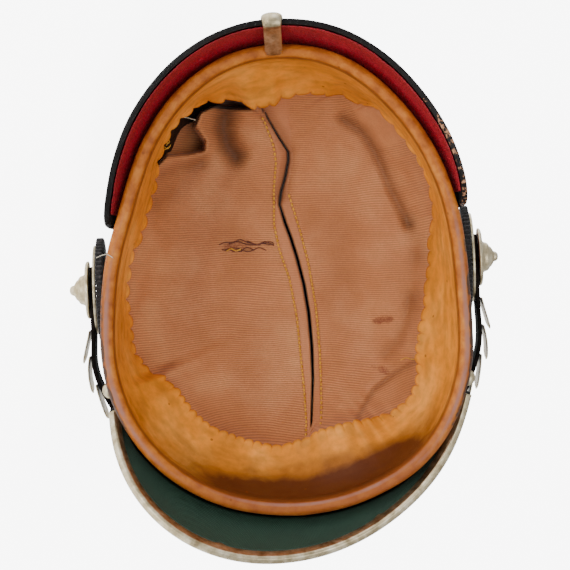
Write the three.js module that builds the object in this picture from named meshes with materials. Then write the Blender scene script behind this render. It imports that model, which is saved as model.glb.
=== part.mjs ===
// Spiked officer's helmet in lacquered leather, lying on its side with its hollow open.
// Helmet frame, in millimetres: X is the wearer's right, Y the front, Z up through the spike,
// with the lower edge of the leather shell at Z = 0 and the middle of its length at Y = 0.
import * as THREE from 'three';

// Driving dimensions, in millimetres and degrees
const SEAT_GAP = 0.35;

const RIM = {
  half_width: 82.5, front_length: 79.4, rear_length: 128.9,
  widest_y: 24.7, front_power: 2.09, rear_power: 2.18,
};
// Places where the old rim has sunk in or sprung out, by angle round the widest station
const RIM_DENTS = [
  { at: -16, spread: 16, depth_share: 0.012 },
  { at: 219, spread: 13, depth_share: 0.0255 },
  { at: 293, spread: 15, depth_share: 0.024 },
  { at: 40, spread: 16, depth_share: -0.012 },
];

const SHELL_INSET = 1.6;
const SHELL_WALL = 2.6;
const SHELL_HEIGHT = 132;
const SHELL_POWER = 2.2;
const APEX_Y = 6;

const ROLL_RADIUS = 3.0;
const ROLL_TURNS = [150, 110, 70, 30, -10, -50];
const BAND_WALL = 1.4;
const BAND_WIDTH = 36;
const BAND_CLEAR = 0.9;
const BAND_FOOT = 9;
// The least height of the band's free edge over its foot, as a share of the band's width, and how
// much of the band's lean comes at an even rate
const BAND_LEAST_RISE = 0.4;
const BAND_EVEN_LEAN = 0.35;
// How far the sweatband's free edge stands in from the rim, as a share of the rim's half width
const BAND_EDGE = [
  { at: 0, inset_share: 0.26 },
  { at: 25, inset_share: 0.24 },
  { at: 45, inset_share: 0.33 },
  { at: 65, inset_share: 0.39 },
  { at: 90, inset_share: 0.33 },
  { at: 115, inset_share: 0.325 },
  { at: 145, inset_share: 0.32 },
  { at: 162, inset_share: 0.25 },
  { at: 180, inset_share: 0.15 },
  { at: 200, inset_share: 0.13 },
  { at: 220, inset_share: 0.15 },
  { at: 240, inset_share: 0.13 },
  { at: 252, inset_share: 0.16 },
  { at: 262, inset_share: 0.3 },
  { at: 278, inset_share: 0.235 },
  { at: 290, inset_share: 0.16 },
  { at: 305, inset_share: 0.13 },
  { at: 320, inset_share: 0.13 },
  { at: 338, inset_share: 0.19 },
];

const LINER_WALL = 1.2;
const LINER_SAG = 34;
const LINER_SLIT = 3.2;
const LINER_SLIT_Y = { rear: -76, front: 71 };
const LINER_SLIT_X = { rear: -9, middle: -1, front: 8 };
const LINER_HEM = 2.0;
const LINER_EDGE_GAP = 0.5;
// How square the lining's bowl is across and along, and the angles between which each half is sewn
const LINER_BOWL_POWER = 2.4;
const LINER_END_POWER = 0.6;
const LINER_ANGLES = { right: { rear: -88, front: 86 }, left: { rear: 268, front: 92 } };
// Folds of the silk: a line across the lining in shares of the rim's half width, the half width
// of the fold and how deep it sinks away from the opening
const LINER_FOLDS = [
  { x0: -0.62, y0: -0.92, x1: -0.26, y1: -0.62, half_share: 0.13, depth_share: 0.16 },
  { x0: 0.32, y0: -0.88, x1: 0.56, y1: -0.40, half_share: 0.10, depth_share: 0.09 },
  { x0: 0.66, y0: -0.15, x1: 0.46, y1: 0.42, half_share: 0.09, depth_share: 0.07 },
  { x0: 0.36, y0: 0.74, x1: 0.68, y1: 0.38, half_share: 0.07, depth_share: 0.05 },
  { x0: -0.30, y0: -0.22, x1: -0.06, y1: -0.20, half_share: 0.06, depth_share: 0.04 },
  { x0: -0.70, y0: 0.50, x1: -0.30, y1: 0.80, half_share: 0.10, depth_share: -0.05 },
];

// The lean is how much more a visor reaches out towards the wearer's left than towards the right
const FRONT_VISOR = {
  centre: 87.3, half_span: 70, reach: 16.6, end_reach: 1.8, power: 1.15, lean: 0.72,
  slope: 62, root_z: 8, bulge: 1.6, wall: 2.2,
};
const REAR_VISOR = {
  centre: 267.3, half_span: 56, reach: 8.8, end_reach: 1.2, power: 0.4, lean: 0,
  slope: 75, root_z: 9, bulge: 1.6, wall: 2.4,
};
// The reach on which a visor's bulge is full, and the share of the visor that its lining spans
const VISOR_FULL_LENGTH = 30;
const VISOR_LINING_SPAN = 0.9;
const VISOR_LINING = 0.8;
const LINING_GAP = 0.5;
const LINING_START = 5.5;
const TRIM_LEG = 5.2;
const TRIM_WALL = 0.7;
const TRIM_NOSE = 1.12;
const TRIM_SPAN = 0.99;
const REAR_LINING_MARGIN = 2.2;

const SPINE_WIDTH = 9.5;
const SPINE_HEIGHT = 2.6;
const TONGUE_WIDTH = 7.8;
const TONGUE_WALL = 0.9;
const TONGUE_END_INSET = 4.4;
const TONGUE_END_Z = -7;
const SPINE_STEPS = 7;
const SPINE_LOW_LEVEL = 0.15;
// Where the spine's stations lie on the visor, as shares of its length, and the half-round section
const SPINE_VISOR_SHARES = [0.86, 0.5, 0.2, 0];
const SPINE_SECTION = [[-0.5, 0], [-0.5, 0.35], [-0.3, 0.8], [0, 1], [0.3, 0.8], [0.5, 0.35], [0.5, 0]];

const SPIKE_BASE_RADIUS = 31;
const SPIKE_BASE_EDGE = 1.2;
const SPIKE_NECK_RADIUS = 11.5;
const SPIKE_NECK_HEIGHT = 19;
const SPIKE_CONE_SHARE = 0.25;
// Rings of the base from its neck to its edge, as shares of its radius
const SPIKE_BASE_RINGS = [0.43, 0.5, 0.6, 0.75, 0.9, 1];
const SPIKE_RING_RADIUS = 14;
const SPIKE_RING_HEIGHT = 4.5;
const SPIKE_LENGTH = 68;
const SPIKE_COLLAR = 3;
const SPIKE_TIP_RADIUS = 2.2;
const BASE_STUD_RADIUS = 3.6;
const BASE_STUD_HEIGHT = 2.6;
const BASE_STUD_CIRCLE = 24.5;
const BASE_STUD_COUNT = 4;

const PLATE_HEIGHT_Z = 72;
const PLATE_RADIUS = 30;
const PLATE_RAY = 7;
const PLATE_RAYS = 12;
const PLATE_WALL = 0.8;

// The round stack at each side: its station along the helmet, its height above the rim and how
// many degrees it faces away from straight sideways
const SIDE_Z = 25;
const SIDES = [
  { name: 'left', sign: -1, y: 4.9, facing: 2.2, stud_y: 49, red_disc: false },
  { name: 'right', sign: 1, y: -9.3, facing: -2.5, stud_y: 43.4, red_disc: true },
];
const COCKADE_RADIUS = 24;
const COCKADE_WALL = 3.0;
const COCKADE_PLEATS = 30;
const COCKADE_PLEAT_DEPTH = 0.7;
const COCKADE_RING_RADIUS = 20;
const COCKADE_RING_WIDTH = 5;
const COCKADE_RING_WALL = 1.3;
const RED_DISC_RADIUS = 14.4;
const BOSS_RADIUS = 13;
const BOSS_DISC = 1.6;
const BOSS_STEP_RADIUS = 5.7;
const BOSS_STEP_HEIGHT = 3.2;
const BOSS_KNOB_RADIUS = 2.9;
const BOSS_HEIGHT = 9.2;
const STUD_RADIUS = 3.6;
const STUD_HEIGHT = 3.0;
const STUD_SHANK = { radius: 2.2, height: 1.8 };
const STUD_Z = 8.5;

const STRAP_WALL = 1.8;
const STRAP_WIDTH = 19;
const STRAP_END_WIDTH = 15;
const STRAP_LIFT = COCKADE_WALL + COCKADE_RING_WALL + 3 * SEAT_GAP;
// How far along a strap it leaves the stack's plane, comes down on to the shell and leans with it
const STRAP_SETTLE = 46;
const STRAP_DOWN = { from: 50, to: 112 };
const STRAP_LEAN = { from: 60, to: 112 };
const STRAP_BACK_SHARE = 0.8;
const STRAP_STEPS = 220;
const STRAP_LEAD_STEPS = 24;
const SCALES_PER_SIDE = 10;
const SCALE_FIRST = 18;
const SCALE_LENGTH = 14.5;
const SCALE_WALL = 0.6;
const SCALE_SPLAY = 12;
const SCALE_OVERHANG = 1.6;
const SCALE_ROUNDING = 0.165;
const BUCKLE_LENGTH = 22;
const BUCKLE_WIDTH = 21;
const BUCKLE_WALL = 2.2;

// Steps round and across the faceted forms
const ROUND_STEPS = 44;
const DOME_STEPS = 8;
const VISOR_STEPS = 24;
const VISOR_ROWS = 4;
const LINER_STEPS = 18;
const LINER_ROWS = 9;
const TURNED_STEPS = 24;
const SMALL_STEPS = 12;

// Roughly which way is down, in the helmet's frame, when it lies on its left side and its spike,
// and the height above the rim where its weight is centred
const REST_DOWN = new THREE.Vector3(-0.87, -0.27, 0.42);
const BALANCE_Z = 54;

const material = (color, roughness, metalness) =>
  new THREE.MeshStandardMaterial({ color, roughness, metalness });
const BLACK_LEATHER = material(0x2a2626, 0.35, 0);
const TAN_LEATHER = material(0xc98a45, 0.6, 0);
const GREEN_LEATHER = material(0x1c4a36, 0.6, 0);
const RED_LEATHER = material(0xa01830, 0.6, 0);
const SALMON_SILK = material(0xb98068, 0.8, 0);
const BLACK_WOOL = material(0x1e1b1b, 0.95, 0);
const RED_PAINT = material(0xa83030, 0.5, 0);
const NICKEL = material(0xb8ac98, 0.3, 1);

const helmet = new THREE.Group();

function addPiece(name, geometry, surface) {
  const mesh = new THREE.Mesh(geometry, surface.clone());
  mesh.name = name;
  helmet.add(mesh);
  return mesh;
}

const radians = THREE.MathUtils.degToRad;
const mix = THREE.MathUtils.lerp;

// Points and the triangles between them, as a geometry whose faces point out
function closedGeometry(points, triangles) {
  let volume = 0;
  const crossed = new THREE.Vector3();
  for (const [a, b, c] of triangles) {
    volume += points[a].dot(crossed.crossVectors(points[b], points[c]));
  }
  const order = volume > 0 ? triangles : triangles.map(([a, b, c]) => [a, c, b]);
  const corners = points.flatMap((point) => point.toArray());
  const geometry = new THREE.BufferGeometry();
  geometry.setAttribute('position', new THREE.Float32BufferAttribute(corners, 3));
  geometry.setIndex(order.flat());
  geometry.computeVertexNormals();
  return geometry;
}

// A flat outline carried through stations, with flat ends or joined round into a loop
function swept(outline, stations, place, joined = false) {
  const points = [];
  const triangles = [];
  const count = outline.length;
  for (const station of stations) {
    for (const corner of outline) points.push(place(station, corner));
  }
  const spans = joined ? stations.length : stations.length - 1;
  for (let i = 0; i < spans; i += 1) {
    const here = i * count;
    const there = ((i + 1) % stations.length) * count;
    for (let j = 0; j < count; j += 1) {
      const next = (j + 1) % count;
      triangles.push([here + j, there + j, there + next], [here + j, there + next, here + next]);
    }
  }
  if (!joined) {
    const flat = outline.map((corner) => new THREE.Vector2(corner[0], corner[1]));
    const turned = THREE.ShapeUtils.isClockWise(flat);
    const faces = THREE.ShapeUtils.triangulateShape(turned ? flat.slice().reverse() : flat, []);
    const last = (stations.length - 1) * count;
    for (const face of faces) {
      const [a, b, c] = turned ? face.map((k) => count - 1 - k).reverse() : face;
      triangles.push([a, b, c], [last + a, last + c, last + b]);
    }
  }
  return closedGeometry(points, triangles);
}

// A sheet of even rows and columns with a front and a back face, closed along its four edges
function slab(rows, columns, faceAt) {
  const points = [];
  const triangles = [];
  const size = rows * columns;
  for (const face of [0, 1]) {
    for (const along of spread(rows)) {
      for (const across of spread(columns)) points.push(faceAt(along, across, face));
    }
  }
  const quad = (a, b, c, d) => triangles.push([a, b, c], [a, c, d]);
  for (let i = 0; i < rows - 1; i += 1) {
    for (let j = 0; j < columns - 1; j += 1) {
      const a = i * columns + j;
      quad(a, a + 1, a + columns + 1, a + columns);
      quad(size + a, size + a + columns, size + a + columns + 1, size + a + 1);
    }
  }
  for (let j = 0; j < columns - 1; j += 1) {
    const far = (rows - 1) * columns + j;
    quad(j, size + j, size + j + 1, j + 1);
    quad(far, far + 1, size + far + 1, size + far);
  }
  for (let i = 0; i < rows - 1; i += 1) {
    const a = i * columns;
    const b = a + columns - 1;
    quad(a, a + columns, size + a + columns, size + a);
    quad(b, size + b, size + b + columns, b + columns);
  }
  return closedGeometry(points, triangles);
}

// Rings between two poles: the first ring joins the first pole and the last ring the last pole
function ringed(firstPole, rings, lastPole) {
  const points = [firstPole, ...rings.flat(), lastPole];
  const triangles = [];
  const count = rings[0].length;
  const end = points.length - 1;
  for (let j = 0; j < count; j += 1) {
    const next = (j + 1) % count;
    triangles.push([0, 1 + next, 1 + j]);
    for (let i = 0; i < rings.length - 1; i += 1) {
      const here = 1 + i * count;
      const there = here + count;
      triangles.push([here + j, here + next, there + next], [here + j, there + next, there + j]);
    }
    const base = 1 + (rings.length - 1) * count;
    triangles.push([base + j, base + next, end]);
  }
  return closedGeometry(points, triangles);
}

function spread(count, joined = false) {
  return Array.from({ length: count }, (_, i) => i / (joined ? count : count - 1));
}

const wrap = (degrees) => THREE.MathUtils.euclideanModulo(degrees + 180, 360) - 180;

// The rim seen from above

function rimCurve(angle) {
  const c = Math.cos(radians(angle));
  const s = Math.sin(radians(angle));
  const length = s > 0 ? RIM.front_length : RIM.rear_length;
  const power = s > 0 ? RIM.front_power : RIM.rear_power;
  const across = Math.abs(c / RIM.half_width) ** power;
  let radius = (across + Math.abs(s / length) ** power) ** (-1 / power);
  for (const dent of RIM_DENTS) {
    const off = wrap(angle - dent.at) / dent.spread;
    radius -= dent.depth_share * RIM.half_width * Math.exp(-off * off);
  }
  return new THREE.Vector2(radius * c, RIM.widest_y + radius * s);
}

function rimOutward(angle) {
  const along = rimCurve(angle + 1).sub(rimCurve(angle - 1));
  return new THREE.Vector2(along.y, -along.x).normalize();
}

function rimPoint(angle, inset, z) {
  const at = rimCurve(angle).addScaledVector(rimOutward(angle), -inset);
  return new THREE.Vector3(at.x, at.y, z);
}

// The leather dome over the rim

const APEX = new THREE.Vector3(0, APEX_Y, 0);

function domeShare(z, height) {
  return Math.max(0, 1 - Math.max(0, z / height) ** SHELL_POWER) ** (1 / SHELL_POWER);
}

function shellPoint(angle, z, out) {
  const share = domeShare(z, SHELL_HEIGHT + out);
  const foot = rimPoint(angle, SHELL_INSET - out, 0);
  return new THREE.Vector3(mix(APEX.x, foot.x, share), mix(APEX.y, foot.y, share), z);
}

function domePoint(angle, level, out) {
  const height = SHELL_HEIGHT + out;
  const rise = Math.sin(radians(90 * level)) ** (2 / SHELL_POWER);
  const share = Math.cos(radians(90 * level)) ** (2 / SHELL_POWER);
  const foot = rimPoint(angle, SHELL_INSET - out, 0);
  return new THREE.Vector3(mix(APEX.x, foot.x, share), mix(APEX.y, foot.y, share), height * rise);
}

function shellOutward(angle, z) {
  const round = shellPoint(angle + 1, z, 0).sub(shellPoint(angle - 1, z, 0));
  const up = shellPoint(angle, z + 1, 0).sub(shellPoint(angle, z - 1, 0));
  return round.cross(up).normalize();
}

function domeHeight(x, y, out) {
  const off = new THREE.Vector2(x - APEX.x, y - APEX.y);
  const distance = off.length();
  if (distance < 1e-6) return SHELL_HEIGHT + out;
  let angle = THREE.MathUtils.radToDeg(Math.atan2(off.y, off.x));
  for (let i = 0; i < 12; i += 1) {
    const foot = rimPoint(angle, SHELL_INSET - out, 0);
    const found = Math.atan2(foot.y - APEX.y, foot.x - APEX.x);
    angle += THREE.MathUtils.radToDeg(Math.atan2(off.y, off.x)) - THREE.MathUtils.radToDeg(found);
  }
  const foot = rimPoint(angle, SHELL_INSET - out, 0);
  const share = distance / Math.hypot(foot.x - APEX.x, foot.y - APEX.y);
  return (SHELL_HEIGHT + out) * (1 - share ** SHELL_POWER) ** (1 / SHELL_POWER);
}

const ROUND = spread(ROUND_STEPS, true).map((share) => 360 * share);

function makeShell() {
  const levels = spread(DOME_STEPS + 1).slice(0, DOME_STEPS);
  const ring = (level, out) => ROUND.map((angle) => domePoint(angle, level, out));
  const outer = levels.map((level) => ring(level, 0));
  const inner = levels.map((level) => ring(level, -SHELL_WALL));
  const top = domePoint(0, 1, 0).setX(APEX.x).setY(APEX.y);
  const under = domePoint(0, 1, -SHELL_WALL).setX(APEX.x).setY(APEX.y);
  addPiece('shell', ringed(top, [...outer.reverse(), ...inner], under), BLACK_LEATHER);
}

// The sweatband: a roll round the rim and a band that leans in to its free edge

function tableAt(table, angle, column) {
  const count = table.length;
  for (let i = 0; i < count; i += 1) {
    const here = table[i];
    const there = table[(i + 1) % count];
    const span = THREE.MathUtils.euclideanModulo(there.at - here.at, 360);
    const off = THREE.MathUtils.euclideanModulo(angle - here.at, 360);
    if (off < span) return mix(here[column], there[column], (1 - Math.cos((Math.PI * off) / span)) / 2);
  }
  return table[0][column];
}

const bandInset = (angle) => tableAt(BAND_EDGE, angle, 'inset_share') * RIM.half_width;

function bandEdgeZ(angle) {
  const lean = bandInset(angle) - SHELL_INSET - SHELL_WALL;
  const least = BAND_LEAST_RISE * BAND_WIDTH;
  return BAND_FOOT + Math.sqrt(Math.max(BAND_WIDTH ** 2 - lean ** 2, least ** 2));
}

function makeSweatband() {
  const back = SHELL_INSET + SHELL_WALL + BAND_CLEAR;
  const roll = (turn) => [
    ROLL_RADIUS * (1 - Math.cos(radians(turn))),
    -SEAT_GAP - ROLL_RADIUS - ROLL_RADIUS * Math.sin(radians(turn)),
  ];
  // Each corner holds its inset and height, or a share of the way up to the free edge
  const section = [
    [back, -SEAT_GAP, 0, 0], [back, BAND_FOOT, 0, 0], [back, BAND_FOOT, 0.5, 0], [back, BAND_FOOT, 1, 0],
    [back, BAND_FOOT, 1, 1], [back, BAND_FOOT, 0.5, 1], [back, BAND_FOOT, 0, 1],
    [back + BAND_WALL, -ROLL_RADIUS, 0, 0],
    ...ROLL_TURNS.map((turn) => [...roll(turn), 0, 0]),
  ];
  const place = (angle, [inset, z, share, front]) => {
    const edge = bandInset(angle);
    const lift = share * mix(BAND_EVEN_LEAN, 1, share);
    const reach = mix(inset, edge, lift) + front * BAND_WALL;
    const rise = mix(z, bandEdgeZ(angle), share) - front * share * BAND_WALL * 0.6;
    return rimPoint(angle, reach, rise);
  };
  addPiece('sweatband', swept(section, ROUND, place, true), TAN_LEATHER);
}

// The silk lining: two halves sewn to the band's free edge, open along a slit between them

function slitX(y) {
  const share = (y - LINER_SLIT_Y.rear) / (LINER_SLIT_Y.front - LINER_SLIT_Y.rear);
  const bow = 4 * share * (1 - share);
  const middle = LINER_SLIT_X.middle - (LINER_SLIT_X.rear + LINER_SLIT_X.front) / 2;
  return mix(LINER_SLIT_X.rear, LINER_SLIT_X.front, share) + bow * middle;
}

function foldDepth(x, y) {
  const unit = RIM.half_width;
  let depth = 0;
  for (const fold of LINER_FOLDS) {
    const start = new THREE.Vector2(fold.x0 * unit, fold.y0 * unit);
    const along = new THREE.Vector2(fold.x1 * unit, fold.y1 * unit).sub(start);
    const share = new THREE.Vector2(x, y).sub(start).dot(along) / along.lengthSq();
    const nearest = start.addScaledVector(along, THREE.MathUtils.clamp(share, 0, 1));
    const off = Math.hypot(x - nearest.x, y - nearest.y) / (fold.half_share * unit);
    depth += fold.depth_share * unit * Math.exp(-off * off);
  }
  return depth;
}

function makeLiner() {
  for (const side of SIDES) {
    const point = (along, across, face) => {
      const { rear, front } = LINER_ANGLES[side.name];
      const angle = mix(rear, front, along);
      const inset = bandInset(angle) + SEAT_GAP + LINER_EDGE_GAP;
      const edge = rimPoint(angle, inset, bandEdgeZ(angle) + SEAT_GAP);
      const slitY = mix(LINER_SLIT_Y.rear, LINER_SLIT_Y.front, along);
      const slit = new THREE.Vector2(slitX(slitY) + (side.sign * LINER_SLIT) / 2, slitY);
      const x = mix(slit.x, edge.x, across);
      const y = mix(slit.y, edge.y, across);
      const ends = Math.sin(Math.PI * along) ** LINER_END_POWER;
      const bowl = Math.sqrt(Math.max(0, 1 - across ** LINER_BOWL_POWER)) * ends;
      const hem = across === 0 ? LINER_HEM : 0;
      const fold = foldDepth(x, y) * Math.sqrt(1 - across ** 4);
      return new THREE.Vector3(x, y, edge.z + LINER_SAG * bowl + fold + hem + face * LINER_WALL);
    };
    addPiece(`liner_${side.name}`, slab(LINER_STEPS, LINER_ROWS, point), SALMON_SILK);
  }
}

// The two visors: leather plates that leave the shell just above the rim and slope down

function visorReach(visor, u) {
  const round = (1 - u * u) ** visor.power * (1 + visor.lean * u);
  return visor.end_reach + (visor.reach - visor.end_reach) * round;
}

// A frame at a station from -1 to 1 along a visor: in measures the way from the edge back to
// the root, and above the height over the plate's middle surface
function visorPlace(visor, u, inward, above) {
  const angle = visor.centre + visor.half_span * u;
  const reach = visorReach(visor, u);
  const root = rimPoint(angle, SHELL_INSET - SEAT_GAP - visor.wall / 2, visor.root_z);
  const outward = rimOutward(angle);
  const slope = radians(visor.slope);
  const length = reach / Math.cos(slope);
  const share = 1 - inward / length;
  const arch = visor.bulge * 4 * share * (1 - share) * Math.min(1, length / VISOR_FULL_LENGTH);
  const level = reach * share + (arch + above) * Math.sin(slope);
  const drop = reach * share * Math.tan(slope) - (arch + above) * Math.cos(slope);
  return new THREE.Vector3(root.x + outward.x * level, root.y + outward.y * level, root.z - drop);
}

const visorLength = (visor, u) => visorReach(visor, u) / Math.cos(radians(visor.slope));
const trimLeg = (u) => Math.min(TRIM_LEG, 0.5 * visorLength(FRONT_VISOR, u));
const rearMargin = (u) => Math.min(REAR_LINING_MARGIN, 0.4 * visorLength(REAR_VISOR, u));

function makeVisorPlate(name, visor, surface) {
  const point = (along, across, face) => {
    const u = mix(-1, 1, along);
    return visorPlace(visor, u, visorLength(visor, u) * across, (0.5 - face) * visor.wall);
  };
  addPiece(name, slab(VISOR_STEPS, VISOR_ROWS, point), surface);
}

function makeVisorLining(name, visor, margin, surface) {
  const point = (along, across, face) => {
    const u = mix(-VISOR_LINING_SPAN, VISOR_LINING_SPAN, along);
    const length = visorLength(visor, u);
    const start = margin(u) + SEAT_GAP;
    const stop = length - Math.min(LINING_START, 0.3 * length);
    const level = -visor.wall / 2 - LINING_GAP - face * VISOR_LINING;
    return visorPlace(visor, u, mix(start, stop, across), level);
  };
  addPiece(name, slab(VISOR_STEPS, VISOR_ROWS, point), surface);
}

function makeFrontTrim() {
  const inner = FRONT_VISOR.wall / 2 + SEAT_GAP;
  const outer = inner + TRIM_WALL;
  const section = [
    [TRIM_LEG, inner], [TRIM_LEG, outer], [0, outer], [-TRIM_NOSE, outer / 2],
    [-TRIM_NOSE, -outer / 2], [0, -outer], [TRIM_LEG, -outer], [TRIM_LEG, -inner],
    [-SEAT_GAP, -inner], [-SEAT_GAP, inner],
  ];
  const place = (u, [inward, above]) => {
    const leg = inward > 0 ? (inward * trimLeg(u)) / TRIM_LEG : inward;
    return visorPlace(FRONT_VISOR, u, leg, above);
  };
  const stations = spread(VISOR_STEPS).map((share) => mix(-TRIM_SPAN, TRIM_SPAN, share));
  addPiece('front_visor_trim', swept(section, stations, place), NICKEL);
}

// The rear spine: a half-round strip from the spike's base to the rear visor's edge, and its
// flat tongue folded in from there to the roll

function makeRearSpine() {
  const clear = REAR_VISOR.wall / 2 + SEAT_GAP;
  const under = REAR_VISOR.wall / 2 + LINING_GAP + VISOR_LINING + SEAT_GAP;
  const length = visorLength(REAR_VISOR, 0);
  const stations = [];
  const foot = rimPoint(REAR_VISOR.centre, SHELL_INSET, 0);
  const span = Math.hypot(foot.x - APEX.x, foot.y - APEX.y);
  const startShare = (SPIKE_BASE_RADIUS + 2 * SEAT_GAP) / span;
  const startLevel = Math.acos(startShare ** (SHELL_POWER / 2)) / (Math.PI / 2);
  for (const share of spread(SPINE_STEPS)) {
    const level = mix(startLevel, SPINE_LOW_LEVEL, share);
    const at = domePoint(REAR_VISOR.centre, level, 2 * SEAT_GAP);
    stations.push({ at, out: domePoint(REAR_VISOR.centre, level, 1 + 2 * SEAT_GAP) });
  }
  for (const share of SPINE_VISOR_SHARES) {
    const at = visorPlace(REAR_VISOR, 0, share * length, clear);
    stations.push({ at, out: visorPlace(REAR_VISOR, 0, share * length, clear + 1) });
  }
  const frames = stations.map(({ at, out }) => ({
    at, up: out.sub(at).normalize(), width: SPINE_WIDTH, height: SPINE_HEIGHT,
  }));
  const edge = visorPlace(REAR_VISOR, 0, 0, 0);
  const inside = visorPlace(REAR_VISOR, 0, 1, 0);
  const beyond = edge.clone().sub(inside).normalize();
  const upward = visorPlace(REAR_VISOR, 0, 0, 1).sub(edge);
  const turn = (degrees) => {
    const arm = upward.clone().multiplyScalar(Math.cos(radians(degrees)));
    return arm.addScaledVector(beyond, Math.sin(radians(degrees)));
  };
  for (const degrees of [45, 90, 135]) {
    const up = turn(degrees);
    const share = degrees / 180;
    const at = edge.clone().addScaledVector(up, mix(clear, under, share));
    at.addScaledVector(beyond, SEAT_GAP);
    const width = mix(SPINE_WIDTH, TONGUE_WIDTH, share);
    frames.push({ at, up, width, height: mix(SPINE_HEIGHT, TONGUE_WALL, share) });
  }
  const outward = rimOutward(REAR_VISOR.centre);
  const sideways = new THREE.Vector3(-outward.y, outward.x, 0);
  const fold = visorPlace(REAR_VISOR, 0, TONGUE_WIDTH / 4, -under);
  const end = rimPoint(REAR_VISOR.centre, TONGUE_END_INSET, TONGUE_END_Z);
  const away = sideways.clone().cross(end.clone().sub(fold)).normalize();
  if (away.z > 0) away.negate();
  for (const share of [0, 0.5, 1]) {
    const at = fold.clone().lerp(end, share);
    frames.push({ at, up: away, width: TONGUE_WIDTH, height: TONGUE_WALL });
  }
  const place = (frame, [across, lift]) => frame.at.clone()
    .addScaledVector(sideways, across * frame.width).addScaledVector(frame.up, lift * frame.height);
  addPiece('rear_spine', swept(SPINE_SECTION, frames, place), NICKEL);
}

// The spike and its round base

function baseTop(radius) {
  const away = (radius - SPIKE_NECK_RADIUS) / (SPIKE_BASE_RADIUS - SPIKE_NECK_RADIUS);
  const rise = Math.max(0, 1 - away);
  return SPIKE_BASE_EDGE + SPIKE_NECK_HEIGHT * mix(rise ** 4, rise, SPIKE_CONE_SHARE);
}

function baseTopZ(x, y) {
  const radius = Math.max(SPIKE_NECK_RADIUS, Math.hypot(x - APEX.x, y - APEX.y));
  const steady = mix(domeHeight(x, y, SEAT_GAP), SHELL_HEIGHT + SEAT_GAP, baseTop(radius) / baseTop(0));
  return Math.min(steady, SHELL_HEIGHT + SEAT_GAP) + baseTop(radius);
}

const NECK_TOP = SHELL_HEIGHT + SEAT_GAP + SPIKE_BASE_EDGE + SPIKE_NECK_HEIGHT;

function makeSpikeBase() {
  const ring = (radius, heightAt) => spread(TURNED_STEPS, true).map((share) => {
    const x = APEX.x + radius * Math.cos(2 * Math.PI * share);
    const y = APEX.y + radius * Math.sin(2 * Math.PI * share);
    return new THREE.Vector3(x, y, heightAt(x, y));
  });
  const wider = SPIKE_BASE_RINGS.map((share) => share * SPIKE_BASE_RADIUS);
  const radii = [SPIKE_NECK_RADIUS, ...wider];
  const under = radii.map((radius) => ring(radius, (x, y) => domeHeight(x, y, SEAT_GAP)));
  const over = radii.map((radius) => ring(radius, baseTopZ));
  const top = new THREE.Vector3(APEX.x, APEX.y, NECK_TOP);
  const bottom = new THREE.Vector3(APEX.x, APEX.y, SHELL_HEIGHT + SEAT_GAP);
  addPiece('spike_base', ringed(top, [...over, ...under.reverse()], bottom), NICKEL);
}

function turnedPiece(name, profile, surface, steps) {
  const outline = profile.map(([radius, along]) => new THREE.Vector2(radius, along));
  return addPiece(name, new THREE.LatheGeometry(outline, steps), surface);
}

function dome(radius, height, base, rows = 4) {
  const arc = spread(rows + 1).map((share) => [
    radius * Math.cos((Math.PI / 2) * share), base + height * Math.sin((Math.PI / 2) * share)]);
  arc[rows][0] = 0;
  return arc;
}

function makeSpike() {
  const ringProfile = [
    [0, 0], [SPIKE_RING_RADIUS - 1.5, 0], [SPIKE_RING_RADIUS, SPIKE_RING_HEIGHT / 3],
    [SPIKE_RING_RADIUS, (2 * SPIKE_RING_HEIGHT) / 3], [SPIKE_RING_RADIUS - 1.5, SPIKE_RING_HEIGHT],
    [0, SPIKE_RING_HEIGHT],
  ];
  const ring = turnedPiece('spike_ring', ringProfile, NICKEL, TURNED_STEPS);
  const spikeRadius = (share) => mix(SPIKE_NECK_RADIUS - 0.5, SPIKE_TIP_RADIUS, share ** 0.8);
  const flankLength = SPIKE_LENGTH - SPIKE_COLLAR - SPIKE_TIP_RADIUS;
  const flank = spread(7).map((share) => [spikeRadius(share), SPIKE_COLLAR + share * flankLength]);
  const foot = [[0, 0], [SPIKE_NECK_RADIUS, 0], [SPIKE_NECK_RADIUS, 2]];
  const tip = dome(SPIKE_TIP_RADIUS, SPIKE_TIP_RADIUS, SPIKE_LENGTH - SPIKE_TIP_RADIUS, 3).slice(1);
  const spike = turnedPiece('spike', [...foot, ...flank, ...tip], NICKEL, TURNED_STEPS);
  const ringFoot = NECK_TOP + SEAT_GAP;
  const spikeFoot = ringFoot + SPIKE_RING_HEIGHT + SEAT_GAP;
  for (const [piece, z] of [[ring, ringFoot], [spike, spikeFoot]]) {
    piece.rotation.x = Math.PI / 2;
    piece.position.set(APEX.x, APEX.y, z);
  }
}

const UP = new THREE.Vector3(0, 1, 0);

function makeBaseStuds() {
  for (let i = 0; i < BASE_STUD_COUNT; i += 1) {
    const turn = (2 * Math.PI * (i + 0.5)) / BASE_STUD_COUNT;
    const x = APEX.x + BASE_STUD_CIRCLE * Math.cos(turn);
    const y = APEX.y + BASE_STUD_CIRCLE * Math.sin(turn);
    const step = BASE_STUD_RADIUS;
    const eastward = new THREE.Vector3(2 * step, 0, baseTopZ(x + step, y) - baseTopZ(x - step, y));
    const northward = new THREE.Vector3(0, 2 * step, baseTopZ(x, y + step) - baseTopZ(x, y - step));
    const outward = eastward.cross(northward).normalize();
    const profile = [[0, 0], ...dome(BASE_STUD_RADIUS, BASE_STUD_HEIGHT, 0.4, 3)];
    profile.splice(1, 0, [BASE_STUD_RADIUS, 0]);
    const stud = turnedPiece(`base_stud_${i + 1}`, profile, NICKEL, SMALL_STEPS);
    stud.quaternion.setFromUnitVectors(UP, outward);
    stud.position.set(x, y, baseTopZ(x, y)).addScaledVector(outward, 3 * SEAT_GAP);
  }
}

// The plain rayed plate on the front of the shell

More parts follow.
